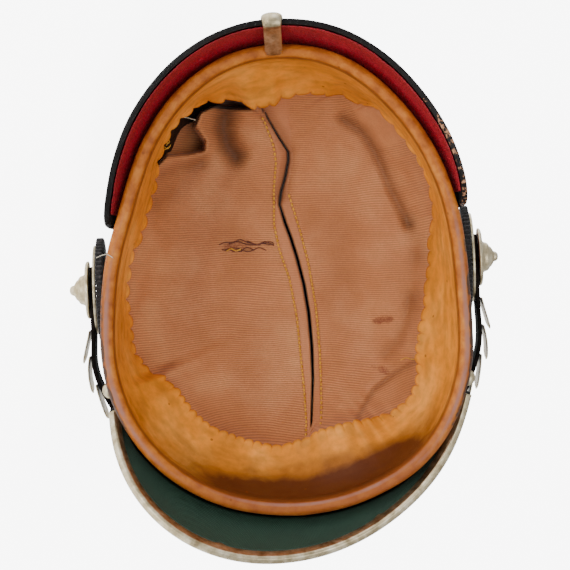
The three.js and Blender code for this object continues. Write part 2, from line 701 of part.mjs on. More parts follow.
function makeFrontPlate() {
  const centreAngle = FRONT_VISOR.centre;
  const middle = shellPoint(centreAngle, PLATE_HEIGHT_Z, 0);
  const spanRadius = Math.hypot(middle.x, middle.y - RIM.widest_y);
  const steps = 2 * PLATE_RAYS;
  const at = (turn, radius, out) => {
    const across = radius * Math.cos(turn);
    const upward = radius * Math.sin(turn);
    const angle = centreAngle - THREE.MathUtils.radToDeg(across / spanRadius);
    const z = PLATE_HEIGHT_Z + upward;
    return shellPoint(angle, z, 0).addScaledVector(shellOutward(angle, z), out);
  };
  const ring = (share, out) => spread(steps, true).map((step, i) => {
    const reach = PLATE_RADIUS + (i % 2 ? PLATE_RAY : 0);
    return at(2 * Math.PI * step, reach * share, out);
  });
  const shares = [0.35, 0.7, 1];
  const back = 2 * SEAT_GAP;
  const over = shares.map((share) => ring(share, back + PLATE_WALL));
  const under = shares.map((share) => ring(share, back));
  const top = at(0, 0, back + PLATE_WALL);
  const bottom = at(0, 0, back);
  addPiece('front_plate', ringed(top, [...over, ...under.reverse()], bottom), NICKEL);
}

// The round stacks at the sides

function sideAngle(side, y, z) {
  let low = side.sign > 0 ? -60 : 240;
  let high = side.sign > 0 ? 60 : 120;
  for (let i = 0; i < 30; i += 1) {
    const middle = (low + high) / 2;
    if (shellPoint(middle, z, 0).y < y) low = middle;
    else high = middle;
  }
  return low;
}

// The upright plane that a side's stack stands on: it touches the shell and clears it elsewhere
function stackPlane(side) {
  const onShell = (y, z) => shellPoint(sideAngle(side, y, z), z, 0);
  const facing = radians(side.facing);
  const outward = new THREE.Vector3(side.sign * Math.cos(facing), Math.sin(facing), 0);
  const foot = onShell(side.y, SIDE_Z);
  let clear = 0;
  for (const turn of spread(SMALL_STEPS, true).map((share) => 2 * Math.PI * share)) {
    for (const radius of [COCKADE_RADIUS / 2, COCKADE_RADIUS]) {
      const at = onShell(side.y + radius * Math.cos(turn), SIDE_Z + radius * Math.sin(turn));
      clear = Math.max(clear, at.sub(foot).dot(outward));
    }
  }
  const forward = new THREE.Vector3(-outward.y, outward.x, 0).multiplyScalar(side.sign);
  return { foot: foot.addScaledVector(outward, clear), outward, forward, clear };
}

const STACKS = new Map(SIDES.map((side) => [side.name, stackPlane(side)]));

function seatOnStack(piece, side, lift) {
  const { foot, outward } = STACKS.get(side.name);
  piece.quaternion.setFromUnitVectors(UP, outward);
  piece.position.copy(foot).addScaledVector(outward, lift);
}

function flatRing(outer, inner, wall) {
  return [[inner, 0], [outer, 0], [outer, wall], [inner, wall], [inner, 0]];
}

function makeCockade(side) {
  const pleat = (i) => (i % 2 ? COCKADE_PLEAT_DEPTH : 0);
  const turns = spread(2 * COCKADE_PLEATS, true);
  const ring = (share, z) => turns.map((turn, i) => {
    const radius = COCKADE_RADIUS * share - (share === 1 ? pleat(i) : 0);
    const swing = 2 * Math.PI * turn;
    return new THREE.Vector3(radius * Math.cos(swing), z, radius * Math.sin(swing));
  });
  const rings = [ring(1, 0), ring(1, 0.7 * COCKADE_WALL), ring(0.93, COCKADE_WALL)];
  const geometry = ringed(new THREE.Vector3(0, 0, 0), rings, new THREE.Vector3(0, COCKADE_WALL, 0));
  seatOnStack(addPiece(`cockade_${side.name}`, geometry, BLACK_WOOL), side, SEAT_GAP);
  const ringLift = COCKADE_WALL + 2 * SEAT_GAP;
  const ringInner = COCKADE_RING_RADIUS - COCKADE_RING_WIDTH;
  const metal = turnedPiece(`cockade_ring_${side.name}`,
    flatRing(COCKADE_RING_RADIUS, ringInner, COCKADE_RING_WALL), NICKEL, TURNED_STEPS);
  seatOnStack(metal, side, ringLift);
  if (side.red_disc) {
    const profile = [
      [0, 0], [RED_DISC_RADIUS, 0], [RED_DISC_RADIUS, COCKADE_RING_WALL], [0, COCKADE_RING_WALL],
    ];
    const disc = turnedPiece('red_disc_right', profile, RED_PAINT, TURNED_STEPS);
    seatOnStack(disc, side, ringLift);
  }
}

function makeBoss(side) {
  const stepFoot = BOSS_DISC + BOSS_STEP_HEIGHT;
  const profile = [
    [0, 0], [BOSS_RADIUS, 0], [BOSS_RADIUS, 0.6 * BOSS_DISC], [BOSS_RADIUS - 1, BOSS_DISC],
    [BOSS_STEP_RADIUS + 1.2, BOSS_DISC + 0.6], [BOSS_STEP_RADIUS, BOSS_DISC + 1.2],
    [BOSS_STEP_RADIUS, stepFoot - 0.6], [BOSS_STEP_RADIUS - 1, stepFoot],
    [BOSS_KNOB_RADIUS, stepFoot + 0.3], [BOSS_KNOB_RADIUS, BOSS_HEIGHT - 1.2],
    [BOSS_KNOB_RADIUS - 1, BOSS_HEIGHT], [0, BOSS_HEIGHT],
  ];
  const boss = turnedPiece(`boss_${side.name}`, profile, NICKEL, TURNED_STEPS);
  seatOnStack(boss, side, STRAP_LIFT + STRAP_WALL + SEAT_GAP);
}

function makeSideStud(side) {
  const shank = [[0, 0], [STUD_SHANK.radius, 0], [STUD_SHANK.radius, STUD_SHANK.height]];
  const profile = [...shank, ...dome(STUD_RADIUS, STUD_HEIGHT, STUD_SHANK.height, 4)];
  const stud = turnedPiece(`side_stud_${side.name}`, profile, NICKEL, SMALL_STEPS);
  const angle = sideAngle(side, side.stud_y, STUD_Z);
  const outward = shellOutward(angle, STUD_Z);
  stud.quaternion.setFromUnitVectors(UP, outward);
  stud.position.copy(shellPoint(angle, STUD_Z, 0)).addScaledVector(outward, SEAT_GAP);
}

// The chin straps: a leather strap with metal scales runs from each boss round to the buckle

function strapPath(side) {
  const start = sideAngle(side, side.y, SIDE_Z);
  const goal = FRONT_VISOR.centre;
  const step = (goal - start) / STRAP_STEPS;
  const path = [];
  for (let i = -STRAP_LEAD_STEPS; i <= STRAP_STEPS; i += 1) {
    const angle = start + i * step;
    const at = shellPoint(angle, SIDE_Z, 0);
    const before = path.at(-1);
    path.push({
      at,
      outward: shellOutward(angle, SIDE_Z),
      travelled: before ? before.travelled + at.distanceTo(before.at) : 0,
    });
  }
  const lead = path[STRAP_LEAD_STEPS].travelled;
  for (const place of path) place.travelled -= lead;
  return path;
}

const STRAPS = new Map(SIDES.map((side) => [side.name, strapPath(side)]));

// A point on a strap: flat and upright over the round stack, then slowly down on to the shell
function strapAt(side, distance, lift, rise) {
  const path = STRAPS.get(side.name);
  const after = path.findIndex((step) => step.travelled >= distance);
  const k = THREE.MathUtils.clamp(after < 0 ? path.length - 1 : after, 1, path.length - 1);
  const [from, to] = [path[k - 1], path[k]];
  const share = (distance - from.travelled) / (to.travelled - from.travelled);
  const smooth = THREE.MathUtils.smoothstep;
  const settle = smooth(distance, COCKADE_RING_RADIUS - 2, STRAP_SETTLE);
  const stack = STACKS.get(side.name);
  const outward = from.outward.clone().lerp(to.outward, share);
  outward.z *= smooth(distance, STRAP_LEAN.from, STRAP_LEAN.to);
  outward.normalize().lerp(stack.outward, 1 - settle).normalize();
  const flat = stack.foot.clone().addScaledVector(stack.forward, distance);
  flat.addScaledVector(stack.outward, STRAP_LIFT);
  const down = smooth(distance, STRAP_DOWN.from, STRAP_DOWN.to);
  const height = mix(STRAP_LIFT + stack.clear, 3 * SEAT_GAP, down);
  const close = from.at.clone().lerp(to.at, share).addScaledVector(outward, height);
  const along = to.at.clone().sub(from.at).normalize().lerp(stack.forward, 1 - settle);
  const across = outward.clone().cross(along).normalize();
  if (across.z < 0) across.negate();
  return flat.lerp(close, settle).addScaledVector(outward, lift).addScaledVector(across, rise);
}

const strapLength = (side) => STRAPS.get(side.name).at(-1).travelled;

function strapWidth(side, distance) {
  return mix(STRAP_WIDTH, STRAP_END_WIDTH, THREE.MathUtils.clamp(distance / strapLength(side), 0, 1));
}

function makeStrap(side) {
  const stop = strapLength(side) - BUCKLE_LENGTH / 2 - SEAT_GAP;
  const outline = [[-0.5, 0], [0.5, 0], [0.5, STRAP_WALL], [-0.5, STRAP_WALL]];
  const place = (distance, [across, lift]) => {
    const fromTip = Math.max(0, distance / BOSS_RADIUS + 1);
    const narrowed = Math.min(1, Math.sqrt(fromTip));
    return strapAt(side, distance, lift, across * strapWidth(side, distance) * narrowed);
  };
  const first = -STRAP_BACK_SHARE * BOSS_RADIUS;
  const stations = spread(20).map((share) => mix(first, stop, share));
  addPiece(`strap_${side.name}`, swept(outline, stations, place), BLACK_LEATHER);
  const pitch = (stop - SCALE_FIRST - SCALE_LENGTH) / (SCALES_PER_SIDE - 1);
  for (let i = 0; i < SCALES_PER_SIDE; i += 1) {
    const root = SCALE_FIRST + i * pitch;
    const point = (along, across, face) => {
      const distance = root + along * SCALE_LENGTH;
      const rounded = 1 - SCALE_ROUNDING * (2 * across - 1) ** 2;
      const reach = root + along * SCALE_LENGTH * rounded;
      const splay = Math.tan(radians(SCALE_SPLAY)) * (reach - root);
      const half = strapWidth(side, distance) / 2 + SCALE_OVERHANG;
      const lift = STRAP_WALL + SEAT_GAP + splay + (1 - face) * SCALE_WALL;
      return strapAt(side, reach, lift, mix(-half, half, across));
    };
    addPiece(`scale_${side.name}_${i + 1}`, slab(3, 5, point), NICKEL);
  }
}

function makeBuckle() {
  const half = BUCKLE_LENGTH / 2;
  const at = (along, rise, lift) => {
    const angle = FRONT_VISOR.centre - THREE.MathUtils.radToDeg(along / RIM.front_length);
    const base = shellPoint(angle, SIDE_Z, 0);
    const outward = shellOutward(angle, SIDE_Z);
    const up = new THREE.Vector3(0, 0, 1);
    up.addScaledVector(outward, -up.dot(outward)).normalize();
    return base.addScaledVector(outward, 3 * SEAT_GAP + lift).addScaledVector(up, rise);
  };
  const point = (along, across, face) => at(
    mix(-half, half, along), mix(-BUCKLE_WIDTH / 2, BUCKLE_WIDTH / 2, across), (1 - face) * BUCKLE_WALL);
  addPiece('buckle', slab(5, 3, point), NICKEL);
}

makeShell();
makeSweatband();
makeLiner();
makeVisorPlate('front_visor', FRONT_VISOR, BLACK_LEATHER);
makeVisorLining('front_visor_lining', FRONT_VISOR, trimLeg, GREEN_LEATHER);
makeFrontTrim();
makeVisorPlate('rear_visor', REAR_VISOR, BLACK_LEATHER);
makeVisorLining('rear_visor_lining', REAR_VISOR, rearMargin, RED_LEATHER);
makeRearSpine();
makeSpikeBase();
makeSpike();
makeBaseStuds();
makeFrontPlate();
for (const side of SIDES) {
  makeCockade(side);
  makeBoss(side);
  makeSideStud(side);
  makeStrap(side);
}
makeBuckle();

// The resting pose: from the rough direction, the helmet tips on its lowest point and then on an
// edge, until three points touch the floor

function allPoints() {
  const points = [];
  for (const mesh of helmet.children) {
    mesh.updateMatrix();
    const corners = mesh.geometry.getAttribute('position');
    for (let i = 0; i < corners.count; i += 1) {
      points.push(new THREE.Vector3().fromBufferAttribute(corners, i).applyMatrix4(mesh.matrix));
    }
  }
  return points;
}

// Turns the downward direction about a hinge through a point until the next point touches
function tippedDown(points, down, hinge, through) {
  const level = hinge.clone().cross(down).normalize();
  let least = Math.PI / 2;
  for (const point of points) {
    const off = point.clone().sub(through);
    const ahead = off.dot(level);
    if (ahead < 0.5) continue;
    least = Math.min(least, Math.atan2(-off.dot(down), ahead));
  }
  return down.clone().multiplyScalar(Math.cos(least)).addScaledVector(level, Math.sin(least)).normalize();
}

function lowest(points, down) {
  return points.reduce((best, point) => (point.dot(down) > best.dot(down) ? point : best));
}

function restingDown() {
  const points = allPoints();
  const balance = new THREE.Vector3(APEX.x, APEX.y, BALANCE_Z);
  let down = REST_DOWN.clone().normalize();
  const first = lowest(points, down);
  const toBalance = balance.clone().sub(first);
  toBalance.addScaledVector(down, -toBalance.dot(down));
  down = tippedDown(points, down, down.clone().cross(toBalance).normalize(), first);
  const second = points.filter((point) => point.distanceTo(first) > 5)
    .reduce((best, point) => (point.dot(down) > best.dot(down) ? point : best));
  const hinge = second.clone().sub(first).normalize();
  const side = hinge.clone().cross(down);
  if (balance.clone().sub(first).dot(side) < 0) hinge.negate();
  return tippedDown(points, down, hinge, first);
}

function layDown() {
  const down = restingDown();
  const tilt = new THREE.Quaternion().setFromUnitVectors(down, new THREE.Vector3(0, 0, -1));
  const opening = new THREE.Vector3(0, 0, -1).applyQuaternion(tilt);
  const heading = -Math.PI / 2 - Math.atan2(opening.y, opening.x);
  const swing = new THREE.Quaternion().setFromAxisAngle(new THREE.Vector3(0, 0, 1), heading);
  helmet.quaternion.copy(swing.multiply(tilt));
  const box = new THREE.Box3().setFromPoints(
    allPoints().map((point) => point.applyQuaternion(helmet.quaternion)));
  const middle = box.getCenter(new THREE.Vector3());
  helmet.position.set(-middle.x, -middle.y, -box.min.z);
}

layDown();

const lyingHelmet = new THREE.Group();
lyingHelmet.name = 'spiked_helmet';
lyingHelmet.add(helmet);

export default lyingHelmet;
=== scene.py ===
# A lacquered leather officer's helmet, lying on its side and seen into its hollow.
# Shapes are worked out in the helmet's own millimetres (X the wearer's right, Y the front, Z up
# through the spike, the shell's lower edge at Z = 0) and carried into the frame in metres.
import math

import bmesh
import bpy
from mathutils import Matrix, Vector, noise


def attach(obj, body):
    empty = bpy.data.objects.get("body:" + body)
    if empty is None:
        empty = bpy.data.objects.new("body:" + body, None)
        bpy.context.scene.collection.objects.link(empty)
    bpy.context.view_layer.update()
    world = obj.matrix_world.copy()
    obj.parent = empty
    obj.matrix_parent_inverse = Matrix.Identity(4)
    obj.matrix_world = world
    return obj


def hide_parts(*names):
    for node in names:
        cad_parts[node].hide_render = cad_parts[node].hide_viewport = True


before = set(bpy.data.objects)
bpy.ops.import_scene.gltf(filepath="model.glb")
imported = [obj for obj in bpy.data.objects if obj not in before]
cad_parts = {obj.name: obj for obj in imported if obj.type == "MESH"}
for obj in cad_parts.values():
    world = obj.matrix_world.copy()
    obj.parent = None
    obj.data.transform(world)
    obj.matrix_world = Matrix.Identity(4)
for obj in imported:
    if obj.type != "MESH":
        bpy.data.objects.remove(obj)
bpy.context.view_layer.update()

MM = 0.001

# Sizes of the helmet, in millimetres and degrees

RIM_HALF_WIDTH = 82.5
RIM_FRONT = 79.4
RIM_REAR = 128.9
RIM_WIDEST_Y = 24.7
RIM_FRONT_POWER = 2.09
RIM_REAR_POWER = 2.18
# Dents of the old rim: the angle round the widest station, the spread and the depth
RIM_DENTS = [(-16, 16, 0.99), (219, 13, 2.104), (293, 15, 1.98), (40, 16, -0.99)]
SHELL_INSET = 1.6
SHELL_WALL = 2.6
SHELL_HEIGHT = 132
SHELL_POWER = 2.2
APEX_Y = 6
SEAT_GAP = 0.35
RING_MIDDLE_Z = 155.15

ROLL_RADIUS = 3.0
BAND_WALL = 1.4
BAND_WIDTH = 36
BAND_FOOT = 9
BAND_CLEAR = 0.9
# The free edge of the sweatband: the angle round the rim and how far it stands in
BAND_EDGE = [
    (0, 20.5), (7.5, 21.5), (22, 18.4), (27, 18.2), (37, 21.4), (45, 25.0), (50, 27.2), (56, 29.8),
    (64, 31.8), (73, 32.0), (83, 28.6), (94, 26.0), (107, 26.2), (116, 26.0), (130, 25.2), (138, 25.0),
    (151, 25.2), (159.5, 21.8), (164.5, 15.0), (174, 10.6), (181, 10.0), (191.5, 7.8), (203, 7.8),
    (212, 9.4), (224, 9.0), (232, 7.0), (240, 6.4), (247, 8.0), (253, 14.0), (260, 23.7), (266, 24.0),
    (270, 20.5), (276, 17.6), (281, 16.0), (285, 12.0), (289, 11.0), (293, 7.2), (302, 6.8), (309, 6.4),
    (314, 6.4), (320, 7.6), (334, 13.0), (349, 17.0),
]
BAND_LEAST_Z = 16
SCALLOP_DEPTH = 2.4

FRONT = dict(
    centre=87.3, half_span=70, reach=16.6, end_reach=1.8, power=1.15, lean=0.72,
    slope=62, root_z=8, bulge=1.6, wall=2.2,
)
REAR = dict(
    centre=267.3, half_span=56, reach=8.8, end_reach=1.2, power=0.4, lean=0.0,
    slope=75, root_z=9, bulge=1.6, wall=2.4,
)
VISOR_LINING = 0.8
LINING_GAP = 0.5
LINING_START = 5.5
LINING_WAVES = 30.625
TRIM_LEG = 5.2
TRIM_WALL = 0.7
TRIM_TAB = 1.6
TRIM_TAB_PLACES = (-0.35, 0.30)
TRIM_TAB_SPREAD = 0.016
REAR_MARGIN = 2.2

SPINE_WIDTH = 9.5
SPINE_HEIGHT = 2.6
TONGUE_WIDTH = 7.8
TONGUE_WALL = 0.9
TONGUE_END_INSET = 4.4
TONGUE_END_Z = -7.0

BASE_RADIUS = 31
BASE_EDGE = 1.2
NECK_RADIUS = 11.5
NECK_HEIGHT = 19
SPIKE_RING_RADIUS = 14
SPIKE_RING_HEIGHT = 4.5
SPIKE_LENGTH = 68
SPIKE_TIP = 2.2
BASE_STUD_CIRCLE = 24.5
BASE_STUD_RADIUS = 3.6

PLATE_Z = 72
PLATE_RADIUS = 30
PLATE_RAY = 7
PLATE_RAYS = 12
PLATE_WALL = 0.8

SIDE_Z = 25
SIDES = [
    dict(name="left", sign=-1, y=4.9, facing=2.2, stud_y=49.0, red=False),
    dict(name="right", sign=1, y=-9.3, facing=-2.5, stud_y=43.4, red=True),
]
COCKADE_RADIUS = 24
COCKADE_WALL = 3.0
COCKADE_PLEATS = 60
RING_RADIUS = 20
RING_WIDTH = 5
RING_WALL = 1.3
RED_RADIUS = 14.4
BOSS_RADIUS = 13
STUD_RADIUS = 3.6
STUD_HEIGHT = 3.0
STUD_SHANK = (2.2, 1.8)
STUD_Z = 8.5
STRAP_WALL = 1.8
STRAP_WIDTH = 19
STRAP_END_WIDTH = 15
STRAP_LIFT = COCKADE_WALL + RING_WALL + 3 * SEAT_GAP
# How far along a strap it leaves the stack's plane, comes down on to the shell and leans with it
STRAP_SETTLE = 46
STRAP_DOWN = (24, 78)
STRAP_LEAN = (60, 112)
SCALES_PER_SIDE = 10
SCALE_FIRST = 18
SCALE_LENGTH = 14.5
SCALE_WALL = 0.6
SCALE_SPLAY = 12
SCALE_OVERHANG = 1.6
BUCKLE_LENGTH = 22
BUCKLE_WIDTH = 21
BUCKLE_WALL = 2.2

LINER_LEVEL = 44
LINER_SAG = 34
LINER_WALL = 0.7
SLIT_REAR_Y = -80.0
SLIT_FRONT_Y = 75.5

# The camera: how far it stands off and how many pixels a millimetre at the rim takes up
PHOTO_WIDTH = 570
PHOTO_SCALE = 2.26
CAMERA_DISTANCE = 1200
CAMERA_TILT = 0.03
PHOTO_MIDDLE = (287, 280)


def mix(a, b, share):
    return a + (b - a) * share


def clamp(value, low=0.0, high=1.0):
    return max(low, min(high, value))


def smooth(value, low, high):
    share = clamp((value - low) / (high - low))
    return share * share * (3 - 2 * share)


def bell(off, spread):
    """A smooth bump: 1 in its middle, fading with the distance off."""
    return math.exp(-((off / spread) ** 2))


def near(value, place):
    """How near a value is to a place, given as its middle and its spread."""
    middle, spread = place
    return bell(value - middle, spread)


def signed_angle(angle):
    """The same angle between -180 and 180 degrees."""
    return (angle + 180) % 360 - 180


# The helmet's frame, found from the spike and the studs round its base


def middle_of(node):
    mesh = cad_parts[node].data
    return sum((v.co for v in mesh.vertices), Vector()) / len(mesh.vertices)


def helmet_matrix():
    ring = middle_of("spike_ring")
    up = (middle_of("spike") - ring).normalized()
    studs = [middle_of(f"base_stud_{i}") for i in (1, 2, 3, 4)]
    right = studs[0] + studs[3] - studs[1] - studs[2]
    right = (right - up * right.dot(up)).normalized()
    front = up.cross(right)
    origin = ring - front * APEX_Y * MM - up * RING_MIDDLE_Z * MM
    matrix = Matrix((right, front, up)).transposed().to_4x4()
    matrix.translation = origin
    return matrix @ Matrix.Scale(MM, 4)


HELMET = helmet_matrix()


# The rim and the dome, as formulas in the helmet's millimetres


def rim_curve(angle):
    c = math.cos(math.radians(angle))
    s = math.sin(math.radians(angle))
    length, power = (RIM_FRONT, RIM_FRONT_POWER) if s > 0 else (RIM_REAR, RIM_REAR_POWER)
    radius = (abs(c / RIM_HALF_WIDTH) ** power + abs(s / length) ** power) ** (-1 / power)
    for at, spread, depth in RIM_DENTS:
        radius -= depth * bell(signed_angle(angle - at), spread)
    return Vector((radius * c, RIM_WIDEST_Y + radius * s))


def rim_outward(angle):
    along = rim_curve(angle + 1) - rim_curve(angle - 1)
    return Vector((along.y, -along.x)).normalized()


def rim_point(angle, inset, z):
    at = rim_curve(angle) - rim_outward(angle) * inset
    return Vector((at.x, at.y, z))


APEX = Vector((0, APEX_Y, 0))


def dome_share(z, height):
    return max(0.0, 1 - max(0.0, z / height) ** SHELL_POWER) ** (1 / SHELL_POWER)


def shell_point(angle, z, out=0.0):
    foot = rim_point(angle, SHELL_INSET - out, 0)
    point = APEX.lerp(foot, dome_share(z, SHELL_HEIGHT + out))
    point.z = z
    return point


def dome_point(angle, level, out=0.0):
    turn = math.pi / 2 * level
    foot = rim_point(angle, SHELL_INSET - out, 0)
    point = APEX.lerp(foot, max(0.0, math.cos(turn)) ** (2 / SHELL_POWER))
    point.z = (SHELL_HEIGHT + out) * math.sin(turn) ** (2 / SHELL_POWER)
    return point


def shell_outward(angle, z):
    around = shell_point(angle + 1, z) - shell_point(angle - 1, z)
    upward = shell_point(angle, z + 1) - shell_point(angle, z - 1)
    return around.cross(upward).normalized()


def dome_height(x, y, out=0.0):
    off = Vector((x - APEX.x, y - APEX.y))
    if off.length < 1e-6:
        return SHELL_HEIGHT + out
    wanted = math.degrees(math.atan2(off.y, off.x))
    angle = wanted
    for _ in range(8):
        foot = rim_point(angle, SHELL_INSET - out, 0)
        angle += wanted - math.degrees(math.atan2(foot.y - APEX.y, foot.x - APEX.x))
    foot = rim_point(angle, SHELL_INSET - out, 0)
    share = off.length / (foot - APEX).length
    return (SHELL_HEIGHT + out) * max(0.0, 1 - share**SHELL_POWER) ** (1 / SHELL_POWER)


def table_at(table, angle):
    for (at, value), (next_at, next_value) in zip(table, table[1:] + table[:1]):
        span = (next_at - at) % 360
        off = (angle - at) % 360
        if off < span:
            return mix(value, next_value, (1 - math.cos(math.pi * off / span)) / 2)
    return table[0][1]


def around_grain(angle, radius, third):
    """Noise that closes on itself round the rim."""
    turn = math.radians(angle)
    return grain((radius * math.cos(turn), radius * math.sin(turn), third), 1.0)


def band_inset(angle):
    return table_at(BAND_EDGE, angle)


def band_edge_z(angle):
    inset = band_inset(angle)
    lean = inset - SHELL_INSET - SHELL_WALL
    height = BAND_FOOT + math.sqrt(max(BAND_WIDTH**2 - lean**2, (0.4 * BAND_WIDTH) ** 2))
    room = max(0.2, inset - SHELL_INSET - SHELL_WALL - BAND_CLEAR - 0.4)
    share = 1 - room / RIM_HALF_WIDTH
    free = SHELL_HEIGHT * (1 - share**SHELL_POWER) ** (1 / SHELL_POWER)
    return max(BAND_LEAST_Z, min(height, free))


def grain(point, scale, seed=0.0):
    return noise.noise(Vector(point) * scale + Vector((seed, 2 * seed, -seed)))


# Materials

SHADER = "Principled BSDF"
# The distance between two ribs of the silk and of the red leather, in millimetres
RIB_PITCH = 1.0
RED_RIB_PITCH = 1.1
# How bright the paper floor is by itself, and how much brighter where the camera sees it
FLOOR_GLOW = 1.2
FLOOR_SEEN = 6.0


def linear(hex_colour):
    channels = [int(hex_colour[i : i + 2], 16) / 255 for i in (1, 3, 5)]
    return [c / 12.92 if c <= 0.04045 else ((c + 0.055) / 1.055) ** 2.4 for c in channels] + [1.0]


def feed(material, node, socket, value):
    """Gives a node's input a value, or joins it to an output."""
    if isinstance(value, bpy.types.NodeSocket):
        material.node_tree.links.new(value, node.inputs[socket])
    else:
        node.inputs[socket].default_value = value


def add_node(material, kind, inputs=None, **settings):
    """Adds one node with its settings and feeds its inputs."""
    node = material.node_tree.nodes.new(kind)
    for name, value in settings.items():
        setattr(node, name, value)
    for socket, value in (inputs or {}).items():
        feed(material, node, socket, value)
    return node


def wire(material, **inputs):
    """Feeds the shader's own inputs and gives the material back."""
    shader = material.node_tree.nodes[SHADER]
    for socket, value in inputs.items():
        feed(material, shader, socket.replace("_", " "), value)
    return material


def new_finish(name, roughness, metallic=0.0, **inputs):
    material = bpy.data.materials.new(name)
    material.use_nodes = True
    return wire(material, Roughness=roughness, Metallic=metallic, **inputs)


def ramp_of(material, factor, stops):
    """A ramp through stops, each a place and a colour or a grey."""
    node = add_node(material, "ShaderNodeValToRGB", {"Fac": factor})
    for _ in stops[2:]:
        node.color_ramp.elements.new(0.5)
    for element, (place, colour) in zip(node.color_ramp.elements, stops):
        element.position = place
        element.color = linear(colour) if isinstance(colour, str) else [colour, colour, colour, 1.0]
    return node.outputs["Color"]


def texture_of(material, kind, inputs, output="Fac", **settings):
    return add_node(material, f"ShaderNodeTex{kind}", inputs, **settings).outputs[output]


def noise_of(material, vector, size_mm, detail=4.0, roughness=0.55, distortion=0.0):
    inputs = {"Vector": vector, "Scale": 1 / (size_mm * MM), "Detail": detail}
    return texture_of(material, "Noise", {**inputs, "Roughness": roughness, "Distortion": distortion})


def wave_scale(pitch):
    """The wave texture's scale for bands this far apart, in the units of its place."""
    return math.pi / 10 / pitch


def mapped(material, place, **inputs):
    """A place turned or stretched before a texture reads it."""
    return add_node(material, "ShaderNodeMapping", {"Vector": place, **inputs}).outputs["Vector"]


def product_of(material, first, second):
    return add_node(material, "ShaderNodeMath", {0: first, 1: second}, operation="MULTIPLY").outputs[0]


def sum_product_of(material, first, second, added):
    inputs = {0: first, 1: second, 2: added}
    return add_node(material, "ShaderNodeMath", inputs, operation="MULTIPLY_ADD").outputs[0]


def blend_of(material, factor, first, second, how="MIX"):
    inputs = {0: factor, 6: first, 7: second}
    return add_node(material, "ShaderNodeMix", inputs, data_type="RGBA", blend_type=how).outputs[2]


def toned(material, colour, mask, stops):
    """A colour multiplied by a ramp of greys."""
    return blend_of(material, 1.0, colour, ramp_of(material, mask, stops), "MULTIPLY")


def tinted(material, colour, mask, stops, tint):
    """A colour with another laid over it, as far as a ramp of greys says."""
    return blend_of(material, ramp_of(material, mask, stops), colour, linear(tint))


def bump_of(material, height, distance_mm, strength=1.0, normal=None):
    inputs = {"Height": height, "Distance": distance_mm * MM, "Strength": strength}
    if normal is not None:
        inputs["Normal"] = normal
    return add_node(material, "ShaderNodeBump", inputs).outputs["Normal"]


def object_place(material):
    return add_node(material, "ShaderNodeTexCoord").outputs["Object"]


def flat_place(material):
    return add_node(material, "ShaderNodeTexCoord").outputs["UV"]


def mask_of(material, name):
    return add_node(material, "ShaderNodeAttribute", attribute_name=name).outputs["Fac"]


def lacquered_leather():
    """Leather under black shellac: a deep gloss with fine age cracks and brown rubbed places."""
    material = new_finish("lacquered_leather", 0.3, IOR=1.5, Specular_IOR_Level=0.18)
    place = object_place(material)
    cell = {"Vector": place, "Scale": 1 / (3.4 * MM)}
    cells = texture_of(material, "Voronoi", cell, "Distance", feature="DISTANCE_TO_EDGE")
    cracks = ramp_of(material, cells, [(0.0, 0.0), (0.05, 1.0)])
    colour = ramp_of(material, noise_of(material, place, 22), [(0.3, "#080606"), (0.7, "#141110")])
    patches = noise_of(material, place, 1.8, 5.0)
    rubbed = product_of(material, mask_of(material, "worn"), patches)
    bare = ramp_of(material, rubbed, [(0.36, 0.0), (0.42, 1.0)])
    leather = ramp_of(material, patches, [(0.35, "#3E2A20"), (0.7, "#C08A66")])
    swells = bump_of(material, noise_of(material, place, 5), 0.5, 0.35)
    return wire(
        material,
        Base_Color=blend_of(material, bare, colour, leather),
        Roughness=ramp_of(material, noise_of(material, place, 9), [(0.3, 0.26), (0.75, 0.5)]),
        Normal=bump_of(material, cracks, 0.12, 0.5, swells),
    )


def sweatband_leather():
    """Vegetable tanned calf, orange brown, polished by wear and stained where the brow sat; its roll carries
    a painted highlight on its flanks and painted shade in its groove.
    """
    material = new_finish("sweatband_leather", 0.5, IOR=1.45, Specular_IOR_Level=0.3)
    place = object_place(material)
    soft = noise_of(material, place, 26)
    colour = ramp_of(material, soft, [(0.3, "#D07E1A"), (0.5, "#E28C26"), (0.72, "#F2A444")])
    colour = toned(material, colour, noise_of(material, place, 3.5, 6.0), [(0.3, 0.8), (0.6, 1.0)])
    colour = toned(material, colour, mask_of(material, "streak"), [(0.1, 0.78), (0.7, 1.06)])
    stain = mask_of(material, "stain")
    cloud = noise_of(material, place, 11, 6.0, 0.6, 0.6)
    dirty = sum_product_of(material, cloud, 0.45, stain)
    colour = tinted(material, colour, dirty, [(0.3, 0.0), (0.75, 0.6), (1.0, 0.95)], "#4A1C06")
    streaks = noise_of(material, place, 6, 6.0, 0.6)
    rolled = ramp_of(material, streaks, [(0.3, "#8A4614"), (0.5, "#B0621A"), (0.72, "#C87E30")])
    rolled = tinted(material, rolled, stain, [(0.2, 0.0), (1.0, 0.6)], "#7C3E1C")
    colour = blend_of(material, mask_of(material, "roll"), colour, rolled)
    # Painted highlight mixed with rubbed wear: a pale pinkish grey on the roll's flanks.
    rubbed = product_of(material, mask_of(material, "rub_and_highlight"), cloud)
    colour = tinted(material, colour, rubbed, [(0.12, 0.0), (0.5, 0.9)], "#93665A")
    residue = product_of(material, mask_of(material, "lacquer"), streaks)
    colour = tinted(material, colour, residue, [(0.3, 0.0), (0.46, 0.9)], "#2B211E")
    # Painted shade in the groove where the band meets the roll.
    colour = tinted(material, colour, mask_of(material, "groove_shade"), [(0.0, 0.0), (1.0, 0.8)], "#642E08")
    spots = texture_of(material, "Voronoi", {"Vector": place, "Scale": 1 / (9 * MM)}, "Distance")
    colour = tinted(material, colour, spots, [(0.05, 0.75), (0.09, 0.0)], "#7A3C08")
    swells = bump_of(material, noise_of(material, place, 8), 0.7, 0.4)
    return wire(
        material,
        Base_Color=colour,
        Roughness=ramp_of(material, cloud, [(0.3, 0.42), (0.7, 0.6)]),
        Normal=bump_of(material, noise_of(material, place, 0.9, 3.0), 0.12, 0.35, swells),
    )


